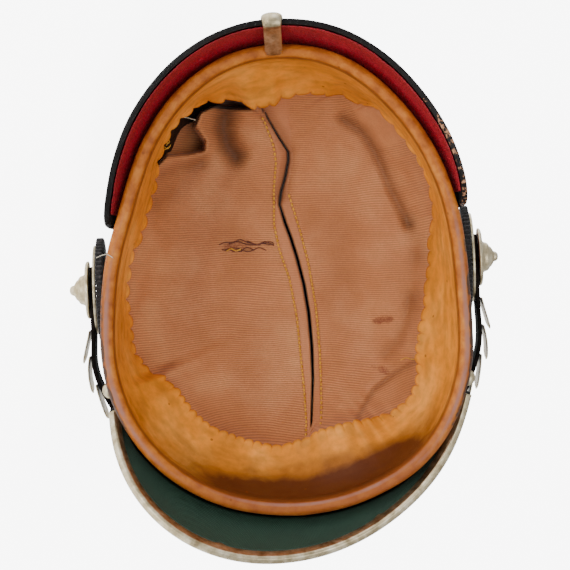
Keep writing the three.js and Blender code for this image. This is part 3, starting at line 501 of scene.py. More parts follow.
def embossed_green():
    """Thin leather dyed dark green and stamped with a fine cross grain, as under a front visor."""
    material = new_finish("embossed_green", 0.55, IOR=1.45)
    place = flat_place(material)
    waves = []
    for turn in (0.62, -0.62):
        turned = mapped(material, place, Rotation=(0, 0, turn))
        wave = {"Vector": turned, "Scale": 0.34, "Distortion": 1.2, "Detail": 1.5}
        waves.append(texture_of(material, "Wave", wave))
    grid = product_of(material, *waves)
    cloud = noise_of(material, object_place(material), 14)
    colour = ramp_of(material, cloud, [(0.3, "#0B1E15"), (0.7, "#122A1E")])
    colour = blend_of(material, grid, colour, linear("#3C6450"))
    return wire(material, Base_Color=colour, Normal=bump_of(material, grid, 0.35, 0.8))


def creased_red():
    """Thin leather dyed deep red, with creases that run out from the head, as under a neck guard."""
    material = new_finish("creased_red", 0.5, IOR=1.45)
    place = flat_place(material)
    spot = object_place(material)
    stretched = mapped(material, place, Scale=(1.0, 0.22, 1.0))
    crease = {"Vector": stretched, "Scale": 0.9, "Detail": 5.0, "Distortion": 0.8}
    creases = texture_of(material, "Noise", crease)
    deep = ramp_of(material, creases, [(0.32, "#6E0812"), (0.7, "#C0142C")])
    clouds = ramp_of(material, noise_of(material, spot, 10), [(0.3, "#8C0E1C"), (0.7, "#B4182A")])
    turned = mapped(material, place, Rotation=(0, 0, 1.1))
    wave = {"Vector": turned, "Scale": wave_scale(RED_RIB_PITCH), "Distortion": 1.5, "Detail": 2.0}
    ribs = texture_of(material, "Wave", wave)
    colour = toned(material, blend_of(material, 0.5, deep, clouds), ribs, [(0.0, 0.6), (1.0, 1.15)])
    flecks = noise_of(material, spot, 1.4, 2.0)
    colour = tinted(material, colour, flecks, [(0.68, 0.0), (0.76, 0.6)], "#D8566A")
    return wire(material, Base_Color=colour, Normal=bump_of(material, creases, 0.9, 0.8))


def ribbed_silk():
    """Salmon silk rep: close raised ribs, a dull sheen, old brown marks, and painted shade in its folds, its
    pocket and along the closed slit.
    """
    material = new_finish("ribbed_silk", 0.62, IOR=1.4, Sheen_Weight=0.1, Sheen_Roughness=0.5)
    wave = {"Vector": flat_place(material), "Scale": wave_scale(RIB_PITCH), "Distortion": 0.9, "Detail": 2.0}
    wave["Detail Scale"] = 0.5
    ribs = texture_of(material, "Wave", wave, bands_direction="Y", wave_profile="SIN")
    ribs = blend_of(material, mask_of(material, "plain"), ribs, (0.75, 0.75, 0.75, 1.0))
    spot = object_place(material)
    cloud = noise_of(material, spot, 30)
    colour = ramp_of(material, cloud, [(0.3, "#B47242"), (0.5, "#C48050"), (0.7, "#D49462")])
    colour = toned(material, colour, ribs, [(0.1, 0.74), (0.9, 1.14)])
    colour = toned(material, colour, noise_of(material, spot, 0.8, 2.0), [(0.3, 0.88), (0.7, 1.05)])
    colour = tinted(material, colour, mask_of(material, "hem"), [(0.0, 0.0), (1.0, 0.5)], "#BC7A54")
    marks = product_of(material, mask_of(material, "stain"), noise_of(material, spot, 0.9, 4.0))
    colour = tinted(material, colour, marks, [(0.14, 0.0), (0.34, 0.7)], "#6A2C1C")
    colour = blend_of(material, mask_of(material, "fray"), colour, linear("#5A4210"))
    # Painted shade: the silk darkens towards a deep brown in its folds, in the pocket and along the closed
    # slit.
    colour = tinted(material, colour, mask_of(material, "shade"), [(0.0, 0.0), (1.0, 0.93)], "#3A1A06")
    swells = bump_of(material, noise_of(material, spot, 6), 0.8, 0.3)
    return wire(material, Base_Color=colour, Normal=bump_of(material, ribs, 0.14, 0.7, swells))


def clouded_finish(name, roughness, cloud, stops, relief, **inputs):
    """One clouded colour over a fine relief, which has a size, a depth and a strength."""
    material = new_finish(name, roughness, **inputs)
    place = object_place(material)
    fine, depth, strength = relief
    colour = ramp_of(material, noise_of(material, place, *cloud), stops)
    raised = bump_of(material, noise_of(material, place, fine), depth, strength)
    return wire(material, Base_Color=colour, Normal=raised)


def thread_of(name, dark, light):
    """Silk sewing thread, two plies that show as a fine twist."""
    return clouded_finish(name, 0.6, (1.2, 3.0), [(0.3, dark), (0.7, light)], (0.4, 0.1, 0.5), IOR=1.45)


def pleated_wool():
    """Black woollen cloth pressed into radial pleats: matt, with a grey nap on the ridges."""
    material = new_finish("pleated_wool", 0.92, Sheen_Weight=0.2)
    nap = noise_of(material, object_place(material), 1.1, 5.0)
    colour = ramp_of(material, nap, [(0.35, "#141213"), (0.6, "#2A2727"), (0.75, "#56504E")])
    return wire(material, Base_Color=colour, Normal=bump_of(material, nap, 0.4, 0.8))


def strap_leather():
    """Black dyed strap leather, matt on its flesh side and along its cut edges."""
    stops = [(0.3, "#0C0908"), (0.7, "#211B18")]
    return clouded_finish("strap_leather", 0.8, (3, 5.0), stops, (0.8, 0.15, 0.5), Specular_IOR_Level=0.06)


def red_enamel():
    """Brush painted red on a thin metal disc, slightly faded."""
    return clouded_finish("red_enamel", 0.4, (5, 4.0), [(0.3, "#8E2020"), (0.7, "#B83A34")], (2, 0.1, 0.4))


def nickel_silver():
    """Spun and stamped nickel silver, hand polished long ago: warm grey, with brown tarnish."""
    material = new_finish("nickel_silver", 0.28, 1.0)
    place = object_place(material)
    tarnish = noise_of(material, place, 5, 6.0, 0.6)
    scratched = mapped(material, place, Scale=(1, 1, 14))
    fine = texture_of(material, "Noise", {"Vector": scratched, "Scale": 1 / (2.4 * MM), "Detail": 3.0})
    return wire(
        material,
        Base_Color=ramp_of(material, tarnish, [(0.3, "#8C7C5E"), (0.5, "#C4B694"), (0.75, "#F2E8D0")]),
        Roughness=ramp_of(material, noise_of(material, place, 3, 5.0), [(0.3, 0.3), (0.75, 0.46)]),
        Normal=bump_of(material, fine, 0.03, 0.4),
    )


def studio_floor():
    """A matt white paper sweep, lit through from behind."""
    material = new_finish("studio_floor", 0.9, Emission_Color=(1.0, 1.0, 1.0, 1.0))
    seen = add_node(material, "ShaderNodeLightPath").outputs["Is Camera Ray"]
    glow = sum_product_of(material, seen, FLOOR_SEEN, FLOOR_GLOW)
    shade = noise_of(material, object_place(material), 900)
    paper = ramp_of(material, shade, [(0.0, "#FBFBFB"), (1.0, "#FFFFFF")])
    return wire(material, Base_Color=paper, Emission_Strength=glow)


LACQUER = lacquered_leather()
TAN = sweatband_leather()
GREEN = embossed_green()
RED = creased_red()
SILK = ribbed_silk()
THREAD = thread_of("yellow_thread", "#BC8018", "#E4AC3E")
WHITE_THREAD = thread_of("white_thread", "#B0A48C", "#D8D0BC")
SILK_THREAD = thread_of("torn_silk_thread", "#2E140E", "#74402E")
WOOL = pleated_wool()
STRAP = strap_leather()
ENAMEL = red_enamel()
NICKEL = nickel_silver()


# Making pieces


def finish_piece(name, mesh, material, nodes=(), wall=None, round_edge=None):
    """Turns a bmesh in the helmet's millimetres into a piece that rides with the helmet."""
    bmesh.ops.transform(mesh, matrix=HELMET, verts=mesh.verts)
    data = bpy.data.meshes.new(name)
    mesh.to_mesh(data)
    mesh.free()
    for polygon in data.polygons:
        polygon.use_smooth = True
    data.materials.append(material)
    piece = bpy.data.objects.new(name, data)
    bpy.context.collection.objects.link(piece)
    if wall:
        thick = piece.modifiers.new("wall", "SOLIDIFY")
        thick.thickness = wall * MM
        thick.offset = -1
    if round_edge:
        edge = piece.modifiers.new("edge", "BEVEL")
        edge.width = round_edge * MM
        edge.segments = 3
        edge.limit_method = "ANGLE"
        edge.angle_limit = math.radians(50)
    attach(piece, "root")
    if nodes:
        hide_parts(*nodes)
    return piece


def sheet_mesh(columns, rows, place, around=False, size=(1.0, 1.0), masks=None):
    """A grid whose points place(u, v) puts, u and v from 0 to 1, with its flat size as the UV."""
    mesh = bmesh.new()
    bmesh.ops.create_grid(mesh, x_segments=columns, y_segments=rows, size=0.5)
    chart = mesh.loops.layers.uv.new("flat")
    for face in mesh.faces:
        for loop in face.loops:
            spot = loop.vert.co
            loop[chart].uv = ((spot.x + 0.5) * size[0], (spot.y + 0.5) * size[1])
    layers = {name: mesh.verts.layers.float.new(name) for name in (masks or {})}
    for vert in mesh.verts:
        u, v = vert.co.x + 0.5, vert.co.y + 0.5
        for name, layer in layers.items():
            vert[layer] = masks[name](u, v)
        vert.co = place(u, v)
    if around:
        bmesh.ops.remove_doubles(mesh, verts=mesh.verts, dist=0.002)
    return mesh


def face_towards(mesh, direction):
    """Turns an open sheet over if its faces look away from a direction on the whole."""
    mesh.normal_update()
    if sum(face.normal.dot(direction) * face.calc_area() for face in mesh.faces) < 0:
        bmesh.ops.reverse_faces(mesh, faces=mesh.faces)


def close_up(mesh):
    """Fills the open ends of a mesh and turns its faces outward."""
    bmesh.ops.holes_fill(mesh, edges=[edge for edge in mesh.edges if edge.is_boundary])
    bmesh.ops.recalc_face_normals(mesh, faces=mesh.faces)
    return mesh


def closed_sweep(stations, corners, place):
    """A closed tube from a ring of corners carried through stations, with filled ends."""
    return close_up(sheet_mesh(stations, corners, place, around=True))


def join_into(mesh, part):
    """Adds a part to a mesh and frees it."""
    extra = bpy.data.meshes.new("part")
    part.to_mesh(extra)
    part.free()
    mesh.from_mesh(extra)
    bpy.data.meshes.remove(extra)


def turned_mesh(profile, steps=64):
    """A profile of radius and height spun into a closed body about the Z axis."""
    mesh = bmesh.new()
    verts = [mesh.verts.new((radius, 0, height)) for radius, height in profile]
    edges = [mesh.edges.new(pair) for pair in zip(verts, verts[1:])]
    whole = dict(cent=(0, 0, 0), axis=(0, 0, 1), angle=2 * math.pi, steps=steps, use_merge=True)
    bmesh.ops.spin(mesh, geom=verts + edges, **whole)
    bmesh.ops.remove_doubles(mesh, verts=mesh.verts, dist=0.001)
    bmesh.ops.recalc_face_normals(mesh, faces=mesh.faces)
    return mesh


def rounded(profile, cut=0.35, steps=3):
    """Cuts the corners of a profile with short curves, leaving its two ends."""
    points = [Vector(p) for p in profile]
    result = [points[0]]
    for before, corner, after in zip(points, points[1:], points[2:]):
        reach = min(cut, 0.4 * (corner - before).length, 0.4 * (after - corner).length)
        start = corner + (before - corner).normalized() * reach
        stop = corner + (after - corner).normalized() * reach
        for i in range(steps + 1):
            share = i / steps
            result.append(start.lerp(corner, share).lerp(corner.lerp(stop, share), share))
    return [tuple(p) for p in result + [points[-1]]]


def seat(mesh, at, outward, lift=0.0):
    """Stands a mesh made about the Z axis on a point, with Z along outward."""
    turn = Vector((0, 0, 1)).rotation_difference(outward).to_matrix().to_4x4()
    bmesh.ops.transform(mesh, matrix=Matrix.Translation(at + outward * lift) @ turn, verts=mesh.verts)
    return mesh


# The shell


def make_shell():
    worn = {
        "worn": lambda u, v: 0.9 * smooth(v, 0.06, 0.0) + 0.25 * max(0.0, grain((6 * u, 4 * v, 0), 1.5)),
    }

    def place(u, v):
        point = dome_point(360 * u, v)
        dent = 0.35 * grain(point, 0.03, 3.0)
        return point + (point - Vector((0, APEX_Y, 20))).normalized() * dent

    mesh = sheet_mesh(200, 60, place, around=True, masks=worn)
    bmesh.ops.recalc_face_normals(mesh, faces=mesh.faces)
    finish_piece("leather_shell", mesh, LACQUER, ["shell"], wall=SHELL_WALL)


# The sweatband


def band_path(angle, share):
    """A point on the band's visible face, from its foot at 0 to its free edge at 1."""
    back = SHELL_INSET + SHELL_WALL + BAND_CLEAR
    lift = share * (0.35 + 0.65 * share)
    reach = mix(back, band_inset(angle), lift) + BAND_WALL
    rise = mix(BAND_FOOT, band_edge_z(angle), share) - share * BAND_WALL * 0.6
    return rim_point(angle, reach, rise)


# The share of the sheet that is the band, the rest being the roll, and the number of lobes
FOOT_AT = 0.6
SCALLOPS = 82
# Places round the rim, each with its spread: where lobes are wide or deep, where the leather is worn and
# stained, and where the roll carries a painted highlight
WIDE_LOBES = (225, 30)
DEEP_LOBES = (215, 40)
BROW_STAIN = (90, 44)
LOW_STAIN = (50, 19)
BROW_RUB_AND_HIGHLIGHT = (80, 50)
RIGHT_SIDE = (0, 42)
LEFT_SIDE = (172, 40)
# Where along the sheet the roll is rubbed and carries a painted highlight, on its inner and its outer flank,
# and where the painted shade of its groove lies
INNER_FLANK = (0.735, 0.025)
OUTER_FLANK = (0.80, 0.03)
GROOVE = (FOOT_AT + 0.075, 0.028)


def scallop(angle):
    """How far the scalloped edge stands out: rounded lobes with sharp notches between."""
    wide = 1.6 * near(angle, WIDE_LOBES)
    wobble = 0.2 * around_grain(angle, 7.0, 0.0)
    turn = (angle / 360 * SCALLOPS - wide + wobble) % 1.0
    deeper = 0.6 * near(angle, DEEP_LOBES) + 0.3 * around_grain(angle, 5.7, 3.0)
    lobe = math.sqrt(max(0.0, 1 - (2 * turn - 1) ** 2)) - 0.6
    return SCALLOP_DEPTH * (0.6 + deeper) * lobe


def make_sweatband():
    def place(u, v):
        angle = 360 * u
        outward = rim_outward(angle)
        outward = Vector((outward.x, outward.y, 0))
        if v < FOOT_AT:
            share = 1 - v / FOOT_AT
            wave = 0.5 * around_grain(angle, 2.9, 2 * share) * share
            point = band_path(angle, share)
            return point + outward * (wave - scallop(angle) * smooth(share, 0.88, 1.0))
        share = (v - FOOT_AT) / (1 - FOOT_AT)
        crease = rim_point(angle, 2 * ROLL_RADIUS + 0.3, -SEAT_GAP - ROLL_RADIUS + 1.2)
        foot = band_path(angle, 0)
        foot.z = mix(foot.z, crease.z, 0.2)
        if share < 0.2:
            return foot.lerp(crease, share / 0.2)
        turn = math.radians(mix(172, -62, (share - 0.2) / 0.8))
        swell = ROLL_RADIUS + 0.25 * around_grain(angle, 5.2, turn)
        inset = ROLL_RADIUS - swell * math.cos(turn)
        return rim_point(angle, inset, -SEAT_GAP - ROLL_RADIUS - swell * math.sin(turn) * 0.98)

    def stain(u, v):
        angle = 360 * u
        share = 1 - v / FOOT_AT
        low_right = 0.7 * near(angle, LOW_STAIN) * smooth(share, 0.72, 0.3)
        return clamp(1.1 * near(angle, BROW_STAIN) * smooth(share, 0.98, 0.1) + low_right)

    def roll(u, v):
        return smooth(v, FOOT_AT + 0.04, FOOT_AT + 0.09)

    def streak(u, v):
        angle = 360 * u
        share = 1 - v / FOOT_AT
        broad = 0.6 * around_grain(angle, 5.0, 8 * share)
        return clamp(0.5 + broad + 0.5 * around_grain(angle, 11.0, 16 * share))

    def at_sides(angle):
        return clamp(near(signed_angle(angle), RIGHT_SIDE) + near(angle, LEFT_SIDE))

    # Rubbed leather with a painted highlight: the roll's inner flank at the brow and its outer flank at the
    # sides.
    def rub_and_highlight(u, v):
        angle = 360 * u
        inner = near(angle, BROW_RUB_AND_HIGHLIGHT) * near(v, INNER_FLANK)
        return clamp(inner + 1.3 * at_sides(angle) * near(v, OUTER_FLANK))

    # Painted shade along the groove between the band and the roll.
    def groove_shade(u, v):
        return near(v, GROOVE)

    def lacquer(u, v):
        return 1.1 * at_sides(360 * u) * smooth(v, 0.79, 0.86)

    masks = dict(streak=streak, stain=stain, roll=roll, rub_and_highlight=rub_and_highlight, lacquer=lacquer, groove_shade=groove_shade)
    mesh = sheet_mesh(1148, 44, place, around=True, size=(600, 60), masks=masks)
    face_towards(mesh, Vector((0, 0, -1)))
    finish_piece("leather_sweatband", mesh, TAN, ["sweatband"], wall=BAND_WALL * 0.8)


# The visors


def visor_reach(visor, u):
    swell = max(0.0, 1 - u * u) ** visor["power"] * (1 + visor["lean"] * u)
    return visor["end_reach"] + (visor["reach"] - visor["end_reach"]) * swell


def visor_length(visor, u):
    return visor_reach(visor, u) / math.cos(math.radians(visor["slope"]))


def visor_place(visor, u, inward, above):
    angle = visor["centre"] + visor["half_span"] * u
    reach = visor_reach(visor, u)
    root = rim_point(angle, SHELL_INSET - SEAT_GAP - visor["wall"] / 2, visor["root_z"])
    outward = rim_outward(angle)
    slope = math.radians(visor["slope"])
    length = reach / math.cos(slope)
    share = 1 - inward / length
    arch = visor["bulge"] * 4 * share * (1 - share) * min(1.0, length / 30)
    level = reach * share + (arch + above) * math.sin(slope)
    drop = reach * share * math.tan(slope) - (arch + above) * math.cos(slope)
    return Vector((root.x + outward.x * level, root.y + outward.y * level, root.z - drop))


def trim_leg(u):
    tabs = sum(TRIM_TAB * bell(u - at, TRIM_TAB_SPREAD) for at in TRIM_TAB_PLACES)
    return min(TRIM_LEG, 0.5 * visor_length(FRONT, u)) + tabs


def rear_margin(u):
    return min(REAR_MARGIN, 0.4 * visor_length(REAR, u))


def make_visor(name, node, visor, edge_wear):
    def place(u, v):
        along = 2 * u - 1
        ripple = 0.12 * grain((8 * along, 3 * v, 2), 1.0)
        return visor_place(visor, along, visor_length(visor, along) * v, visor["wall"] / 2 + ripple)

    worn = {"worn": lambda u, v: edge_wear(u) * smooth(v, 0.10, 0.0)}
    mesh = sheet_mesh(220, 24, place, size=(250, 40), masks=worn)
    face_towards(mesh, Vector((0, 0, 1)))
    finish_piece(name, mesh, LACQUER, [node], wall=visor["wall"], round_edge=0.7)


def make_lining(name, node, visor, margin, material, crumple):
    def place(u, v):
        along = mix(-0.93, 0.93, u)
        length = visor_length(visor, along)
        start = margin(along) + SEAT_GAP
        stop = length - min(LINING_START, 0.3 * length)
        wave = crumple * grain((LINING_WAVES * u, 2 * v, 4), 1.0)
        under = visor["wall"] / 2 + LINING_GAP + 0.3 + max(0.0, wave)
        return visor_place(visor, along, mix(start, stop, v), -under)

    mesh = sheet_mesh(420, 20, place, size=(250, 36))
    face_towards(mesh, Vector((0, 0, -1)))
    finish_piece(name, mesh, material, [node], wall=0.4)


def make_front_trim():
    inner = FRONT["wall"] / 2 + SEAT_GAP
    outer = inner + TRIM_WALL
    section = rounded(
        [
            (TRIM_LEG, inner), (TRIM_LEG, outer), (0.2, outer), (-TRIM_WALL * 1.6, 0.5 * outer),
            (-TRIM_WALL * 1.6, -0.5 * outer), (0.2, -outer), (TRIM_LEG, -outer), (TRIM_LEG, -inner),
            (-SEAT_GAP, -inner), (-SEAT_GAP, inner), (TRIM_LEG, inner),
        ],
        0.3,
        2,
    )
    count = len(section) - 1

    def place(u, v):
        along = mix(-0.99, 0.99, u)
        inward, above = section[round(v * count) % count]
        if inward > 0:
            inward *= trim_leg(along) / TRIM_LEG
        return visor_place(FRONT, along, inward, above)

    mesh = closed_sweep(260, count, place)
    finish_piece("metal_trim", mesh, NICKEL, ["front_visor_trim"])


def make_rear_spine():
    clear = REAR["wall"] / 2 + SEAT_GAP
    under = REAR["wall"] / 2 + LINING_GAP + VISOR_LINING + SEAT_GAP
    length = visor_length(REAR, 0)
    foot = rim_point(REAR["centre"], SHELL_INSET, 0)
    start_share = (BASE_RADIUS + 2 * SEAT_GAP) / (foot - APEX).length
    start_level = math.acos(start_share ** (SHELL_POWER / 2)) / (math.pi / 2)
    frames = []
    for i in range(25):
        level = mix(start_level, 0.15, i / 24)
        at = dome_point(REAR["centre"], level, 2 * SEAT_GAP)
        up = (dome_point(REAR["centre"], level, 1 + 2 * SEAT_GAP) - at).normalized()
        frames.append((at, up, SPINE_WIDTH, SPINE_HEIGHT))
    for share in (0.86, 0.68, 0.5, 0.35, 0.2, 0.1, 0.0):
        at = visor_place(REAR, 0, length * share, clear)
        up = (visor_place(REAR, 0, length * share, clear + 1) - at).normalized()
        frames.append((at, up, SPINE_WIDTH, SPINE_HEIGHT))
    edge = visor_place(REAR, 0, 0, 0)
    beyond = (edge - visor_place(REAR, 0, 1, 0)).normalized()
    upward = (visor_place(REAR, 0, 0, 1) - edge).normalized()
    for i in range(1, 8):
        turn = math.pi * i / 8
        share = i / 8
        up = upward * math.cos(turn) + beyond * math.sin(turn)
        at = edge + up * mix(clear, under, share) + beyond * SEAT_GAP
        frames.append((at, up, mix(SPINE_WIDTH, TONGUE_WIDTH, share), mix(SPINE_HEIGHT, TONGUE_WALL, share)))
    outward = rim_outward(REAR["centre"])
    sideways = Vector((-outward.y, outward.x, 0))
    fold = visor_place(REAR, 0, TONGUE_WIDTH / 4, -under)
    end = rim_point(REAR["centre"], TONGUE_END_INSET, TONGUE_END_Z)
    away = sideways.cross(end - fold).normalized()
    if away.z > 0:
        away.negate()
    for share in (0.0, 0.2, 0.4, 0.6, 0.8, 0.94, 1.0):
        width = TONGUE_WIDTH * (1 - 0.14 * smooth(share, 0.85, 1.0))
        frames.append((fold.lerp(end, share), away, width, TONGUE_WALL))
    section = [(0.5, 0.0)]
    for i in range(1, 12):
        turn = math.pi * i / 12
        section.append((0.5 * math.cos(turn), math.sin(turn) ** 0.75))
    section.append((-0.5, 0.0))
    section += [(0.5 - i / 6, 0.0) for i in range(1, 6)]
    count = len(section)

    def place(u, v):
        at, up, width, height = frames[round(u * (len(frames) - 1))]
        across, lift = section[round(v * count) % count]
        return at + sideways * across * width + up * lift * height

    mesh = closed_sweep(len(frames) - 1, count, place)
    finish_piece("metal_spine", mesh, NICKEL, ["rear_spine"])


# The spike and its base


def base_top(radius):
    rise = max(0.0, 1 - (radius - NECK_RADIUS) / (BASE_RADIUS - NECK_RADIUS))
    return BASE_EDGE + NECK_HEIGHT * (0.25 * rise + 0.75 * rise**4)


def base_top_z(x, y):
    radius = max(NECK_RADIUS, math.hypot(x - APEX.x, y - APEX.y))
    steady = mix(dome_height(x, y, SEAT_GAP), SHELL_HEIGHT + SEAT_GAP, base_top(radius) / base_top(0))
    return min(steady, SHELL_HEIGHT + SEAT_GAP) + base_top(radius)


NECK_TOP = SHELL_HEIGHT + SEAT_GAP + BASE_EDGE + NECK_HEIGHT


def make_spike_base():
    def place(u, v):
        turn = 2 * math.pi * u
        if v < 0.92:
            radius = mix(BASE_RADIUS, NECK_RADIUS, smooth(v, 0.0, 0.92))
        else:
            radius = NECK_RADIUS * (1 - (v - 0.92) / 0.08)
        x = APEX.x + radius * math.cos(turn)
        y = APEX.y + radius * math.sin(turn)
        return Vector((x, y, base_top_z(x, y)))

    mesh = sheet_mesh(96, 40, place, around=True)
    face_towards(mesh, Vector((0, 0, 1)))
    finish_piece("metal_spike_base", mesh, NICKEL, ["spike_base"], wall=0.9, round_edge=0.3)


def make_spike():
    corner = 1.5
    ring = [
        (0, 0), (SPIKE_RING_RADIUS - corner, 0), (SPIKE_RING_RADIUS, corner),
        (SPIKE_RING_RADIUS, SPIKE_RING_HEIGHT - corner), (SPIKE_RING_RADIUS - corner, SPIKE_RING_HEIGHT),
        (0, SPIKE_RING_HEIGHT),
    ]
    above = Vector((0, APEX_Y, NECK_TOP + SEAT_GAP))
    mesh = seat(turned_mesh(rounded(ring, 1.2, 5)), above, Vector((0, 0, 1)))
    finish_piece("metal_spike_ring", mesh, NICKEL, ["spike_ring"])
    foot = NECK_TOP + SPIKE_RING_HEIGHT + 2 * SEAT_GAP
    flank = []
    for i in range(25):
        share = i / 24
        radius = mix(NECK_RADIUS - 0.5, SPIKE_TIP, share**0.8)
        flank.append((radius, 3 + share * (SPIKE_LENGTH - 3 - SPIKE_TIP)))
    tip = dome_profile(SPIKE_TIP, SPIKE_TIP, SPIKE_LENGTH - SPIKE_TIP, 6)[1:]
    profile = [(0, 0), (NECK_RADIUS, 0), (NECK_RADIUS, 1.2), (NECK_RADIUS - 0.8, 2.2)] + flank + tip
    mesh = seat(turned_mesh(profile), Vector((0, APEX_Y, foot)), Vector((0, 0, 1)))
    finish_piece("metal_spike", mesh, NICKEL, ["spike"])


def dome_profile(radius, height, base=0.0, rows=10):
    """A quarter round that ends on the axis."""
    turns = [math.pi / 2 * i / rows for i in range(rows)]
    return [(radius * math.cos(t), base + height * math.sin(t)) for t in turns] + [(0, base + height)]


def make_base_studs():
    for i in range(4):
        turn = 2 * math.pi * (i + 0.5) / 4
        x = APEX.x + BASE_STUD_CIRCLE * math.cos(turn)
        y = APEX.y + BASE_STUD_CIRCLE * math.sin(turn)
        step = BASE_STUD_RADIUS
        eastward = Vector((2 * step, 0, base_top_z(x + step, y) - base_top_z(x - step, y)))
        northward = Vector((0, 2 * step, base_top_z(x, y + step) - base_top_z(x, y - step)))
        outward = eastward.cross(northward).normalized()
        mesh = turned_mesh([(0, 0), (step, 0)] + dome_profile(step, 2.6, 0.4), 32)
        seat(mesh, Vector((x, y, base_top_z(x, y))), outward, 3 * SEAT_GAP)
        finish_piece(f"metal_base_stud_{i + 1}", mesh, NICKEL, [f"base_stud_{i + 1}"])


def make_front_plate():
    middle = shell_point(FRONT["centre"], PLATE_Z)
    span = math.hypot(middle.x, middle.y - RIM_WIDEST_Y)

    def place(u, v):
        turn = 2 * math.pi * u
        wave = abs(((u * PLATE_RAYS * 2 + 1) % 2) - 1)
        ray = PLATE_RADIUS + PLATE_RAY * (1 - wave)
        radius = ray * v
        lift = 0.45 * smooth(v, 0.5, 0.8) * (1 - wave) + 0.9 * (1 - v) ** 0.5 * 0.4
        angle = FRONT["centre"] - math.degrees(radius * math.cos(turn) / span)
        z = PLATE_Z + radius * math.sin(turn)
        return shell_point(angle, z) + shell_outward(angle, z) * (2 * SEAT_GAP + PLATE_WALL + lift)

    mesh = sheet_mesh(240, 30, place, around=True)
    face_towards(mesh, Vector((0, 1, 0)))
    finish_piece("metal_front_plate", mesh, NICKEL, ["front_plate"], wall=PLATE_WALL)


# The round stacks at the sides


def side_angle(side, y, z):
    low, high = (-60, 60) if side["sign"] > 0 else (240, 120)
    for _ in range(30):
        middle = (low + high) / 2
        if shell_point(middle, z).y < y:
            low = middle
        else:
            high = middle
    return low


def on_shell(mesh, side, y, z, lift):
    angle = side_angle(side, y, z)
    return seat(mesh, shell_point(angle, z), shell_outward(angle, z), lift)


def stack_plane(side):
    """The upright plane that a side's stack stands on: it touches the shell and clears it."""
    facing = math.radians(side["facing"])
    outward = Vector((side["sign"] * math.cos(facing), math.sin(facing), 0))
    foot = shell_point(side_angle(side, side["y"], SIDE_Z), SIDE_Z)
    clear = 0.0
    for i in range(12):
        turn = math.pi / 6 * i
        for radius in (COCKADE_RADIUS / 2, COCKADE_RADIUS):
            y, z = side["y"] + radius * math.cos(turn), SIDE_Z + radius * math.sin(turn)
            clear = max(clear, (shell_point(side_angle(side, y, z), z) - foot).dot(outward))
    forward = Vector((-outward.y, outward.x, 0)) * side["sign"]
    return dict(foot=foot + outward * clear, outward=outward, forward=forward, clear=clear)


STACKS = {side["name"]: stack_plane(side) for side in SIDES}


def on_stack(mesh, side, lift):
    stack = STACKS[side["name"]]
    return seat(mesh, stack["foot"], stack["outward"], lift)


def make_cockade(side):
    def place(u, v):
        turn = 2 * math.pi * u
        pleat = math.sin(COCKADE_PLEATS * turn + 0.8 * grain((3 * u, 0, side["y"]), 1.0))
        if v < 0.7:
            radius = (COCKADE_RADIUS - 0.55) * v / 0.7
            height = COCKADE_WALL - 0.1 + 0.3 * pleat * smooth(v, 0.1, 0.6)
        else:
            drop = (v - 0.7) / 0.3
            radius = COCKADE_RADIUS - 0.9 + 0.35 * pleat
            height = (COCKADE_WALL - 0.1 + 0.3 * pleat) * (1 - drop)
            if v > 0.99:
                radius -= 0.5
        return Vector((radius * math.cos(turn), radius * math.sin(turn), height))

    mesh = sheet_mesh(480, 26, place, around=True)
    on_stack(close_up(mesh), side, SEAT_GAP)
    finish_piece(f"wool_cockade_{side['name']}", mesh, WOOL, [f"cockade_{side['name']}"])
    lift = COCKADE_WALL + 2 * SEAT_GAP
    inner = RING_RADIUS - RING_WIDTH
    ring = [
        (inner, 0.6), (inner, 0), (RING_RADIUS, 0),
        (RING_RADIUS, RING_WALL), (inner, RING_WALL), (inner, 0.6),
    ]
    mesh = on_stack(turned_mesh(rounded(ring, 0.4, 4), 96), side, lift)
    finish_piece(f"metal_ring_{side['name']}", mesh, NICKEL, [f"cockade_ring_{side['name']}"])
    if side["red"]:
        disc = rounded([(0, 0), (RED_RADIUS, 0), (RED_RADIUS, RING_WALL), (0, RING_WALL)], 0.4, 4)
        mesh = on_stack(turned_mesh(disc, 96), side, lift)
        finish_piece("painted_red_disc", mesh, ENAMEL, ["red_disc_right"])


def make_boss(side):
    profile = [
        (0, 0), (BOSS_RADIUS, 0), (BOSS_RADIUS, 0.96), (BOSS_RADIUS - 1, 1.6), (7.4, 2.1), (6.7, 2.8),
        (6.3, 4.2), (5.6, 4.9), (4.9, 5.2), (4.2, 6.1), (3.0, 6.8), (2.4, 7.1), (2.1, 8.2), (1.3, 9.0),
        (0, 9.2),
    ]
    mesh = turned_mesh(rounded(profile, 0.5, 4), 96)
    on_stack(mesh, side, STRAP_LIFT + STRAP_WALL + SEAT_GAP)
    finish_piece(f"metal_boss_{side['name']}", mesh, NICKEL, [f"boss_{side['name']}"])


def make_side_stud(side):
    radius, height = STUD_SHANK
    shank = [(0, 0), (radius, 0), (radius, height)]
    mesh = turned_mesh(shank + dome_profile(STUD_RADIUS, STUD_HEIGHT, height), 48)
    on_shell(mesh, side, side["stud_y"], STUD_Z, SEAT_GAP)
    finish_piece(f"metal_side_stud_{side['name']}", mesh, NICKEL, [f"side_stud_{side['name']}"])


# The chin straps

STRAP_STEPS = 220
STRAP_LEAD_STEPS = 24


def strap_path(side):
    start = side_angle(side, side["y"], SIDE_Z)
    step = (FRONT["centre"] - start) / STRAP_STEPS
    path = []
    travelled = 0.0
    for i in range(-STRAP_LEAD_STEPS, STRAP_STEPS + 1):
        angle = start + i * step
        at = shell_point(angle, SIDE_Z)
        if path:
            travelled += (at - path[-1][0]).length
        path.append((at, shell_outward(angle, SIDE_Z), travelled))
    lead = path[STRAP_LEAD_STEPS][2]
    return [(at, outward, far - lead) for at, outward, far in path]


STRAPS = {side["name"]: strap_path(side) for side in SIDES}


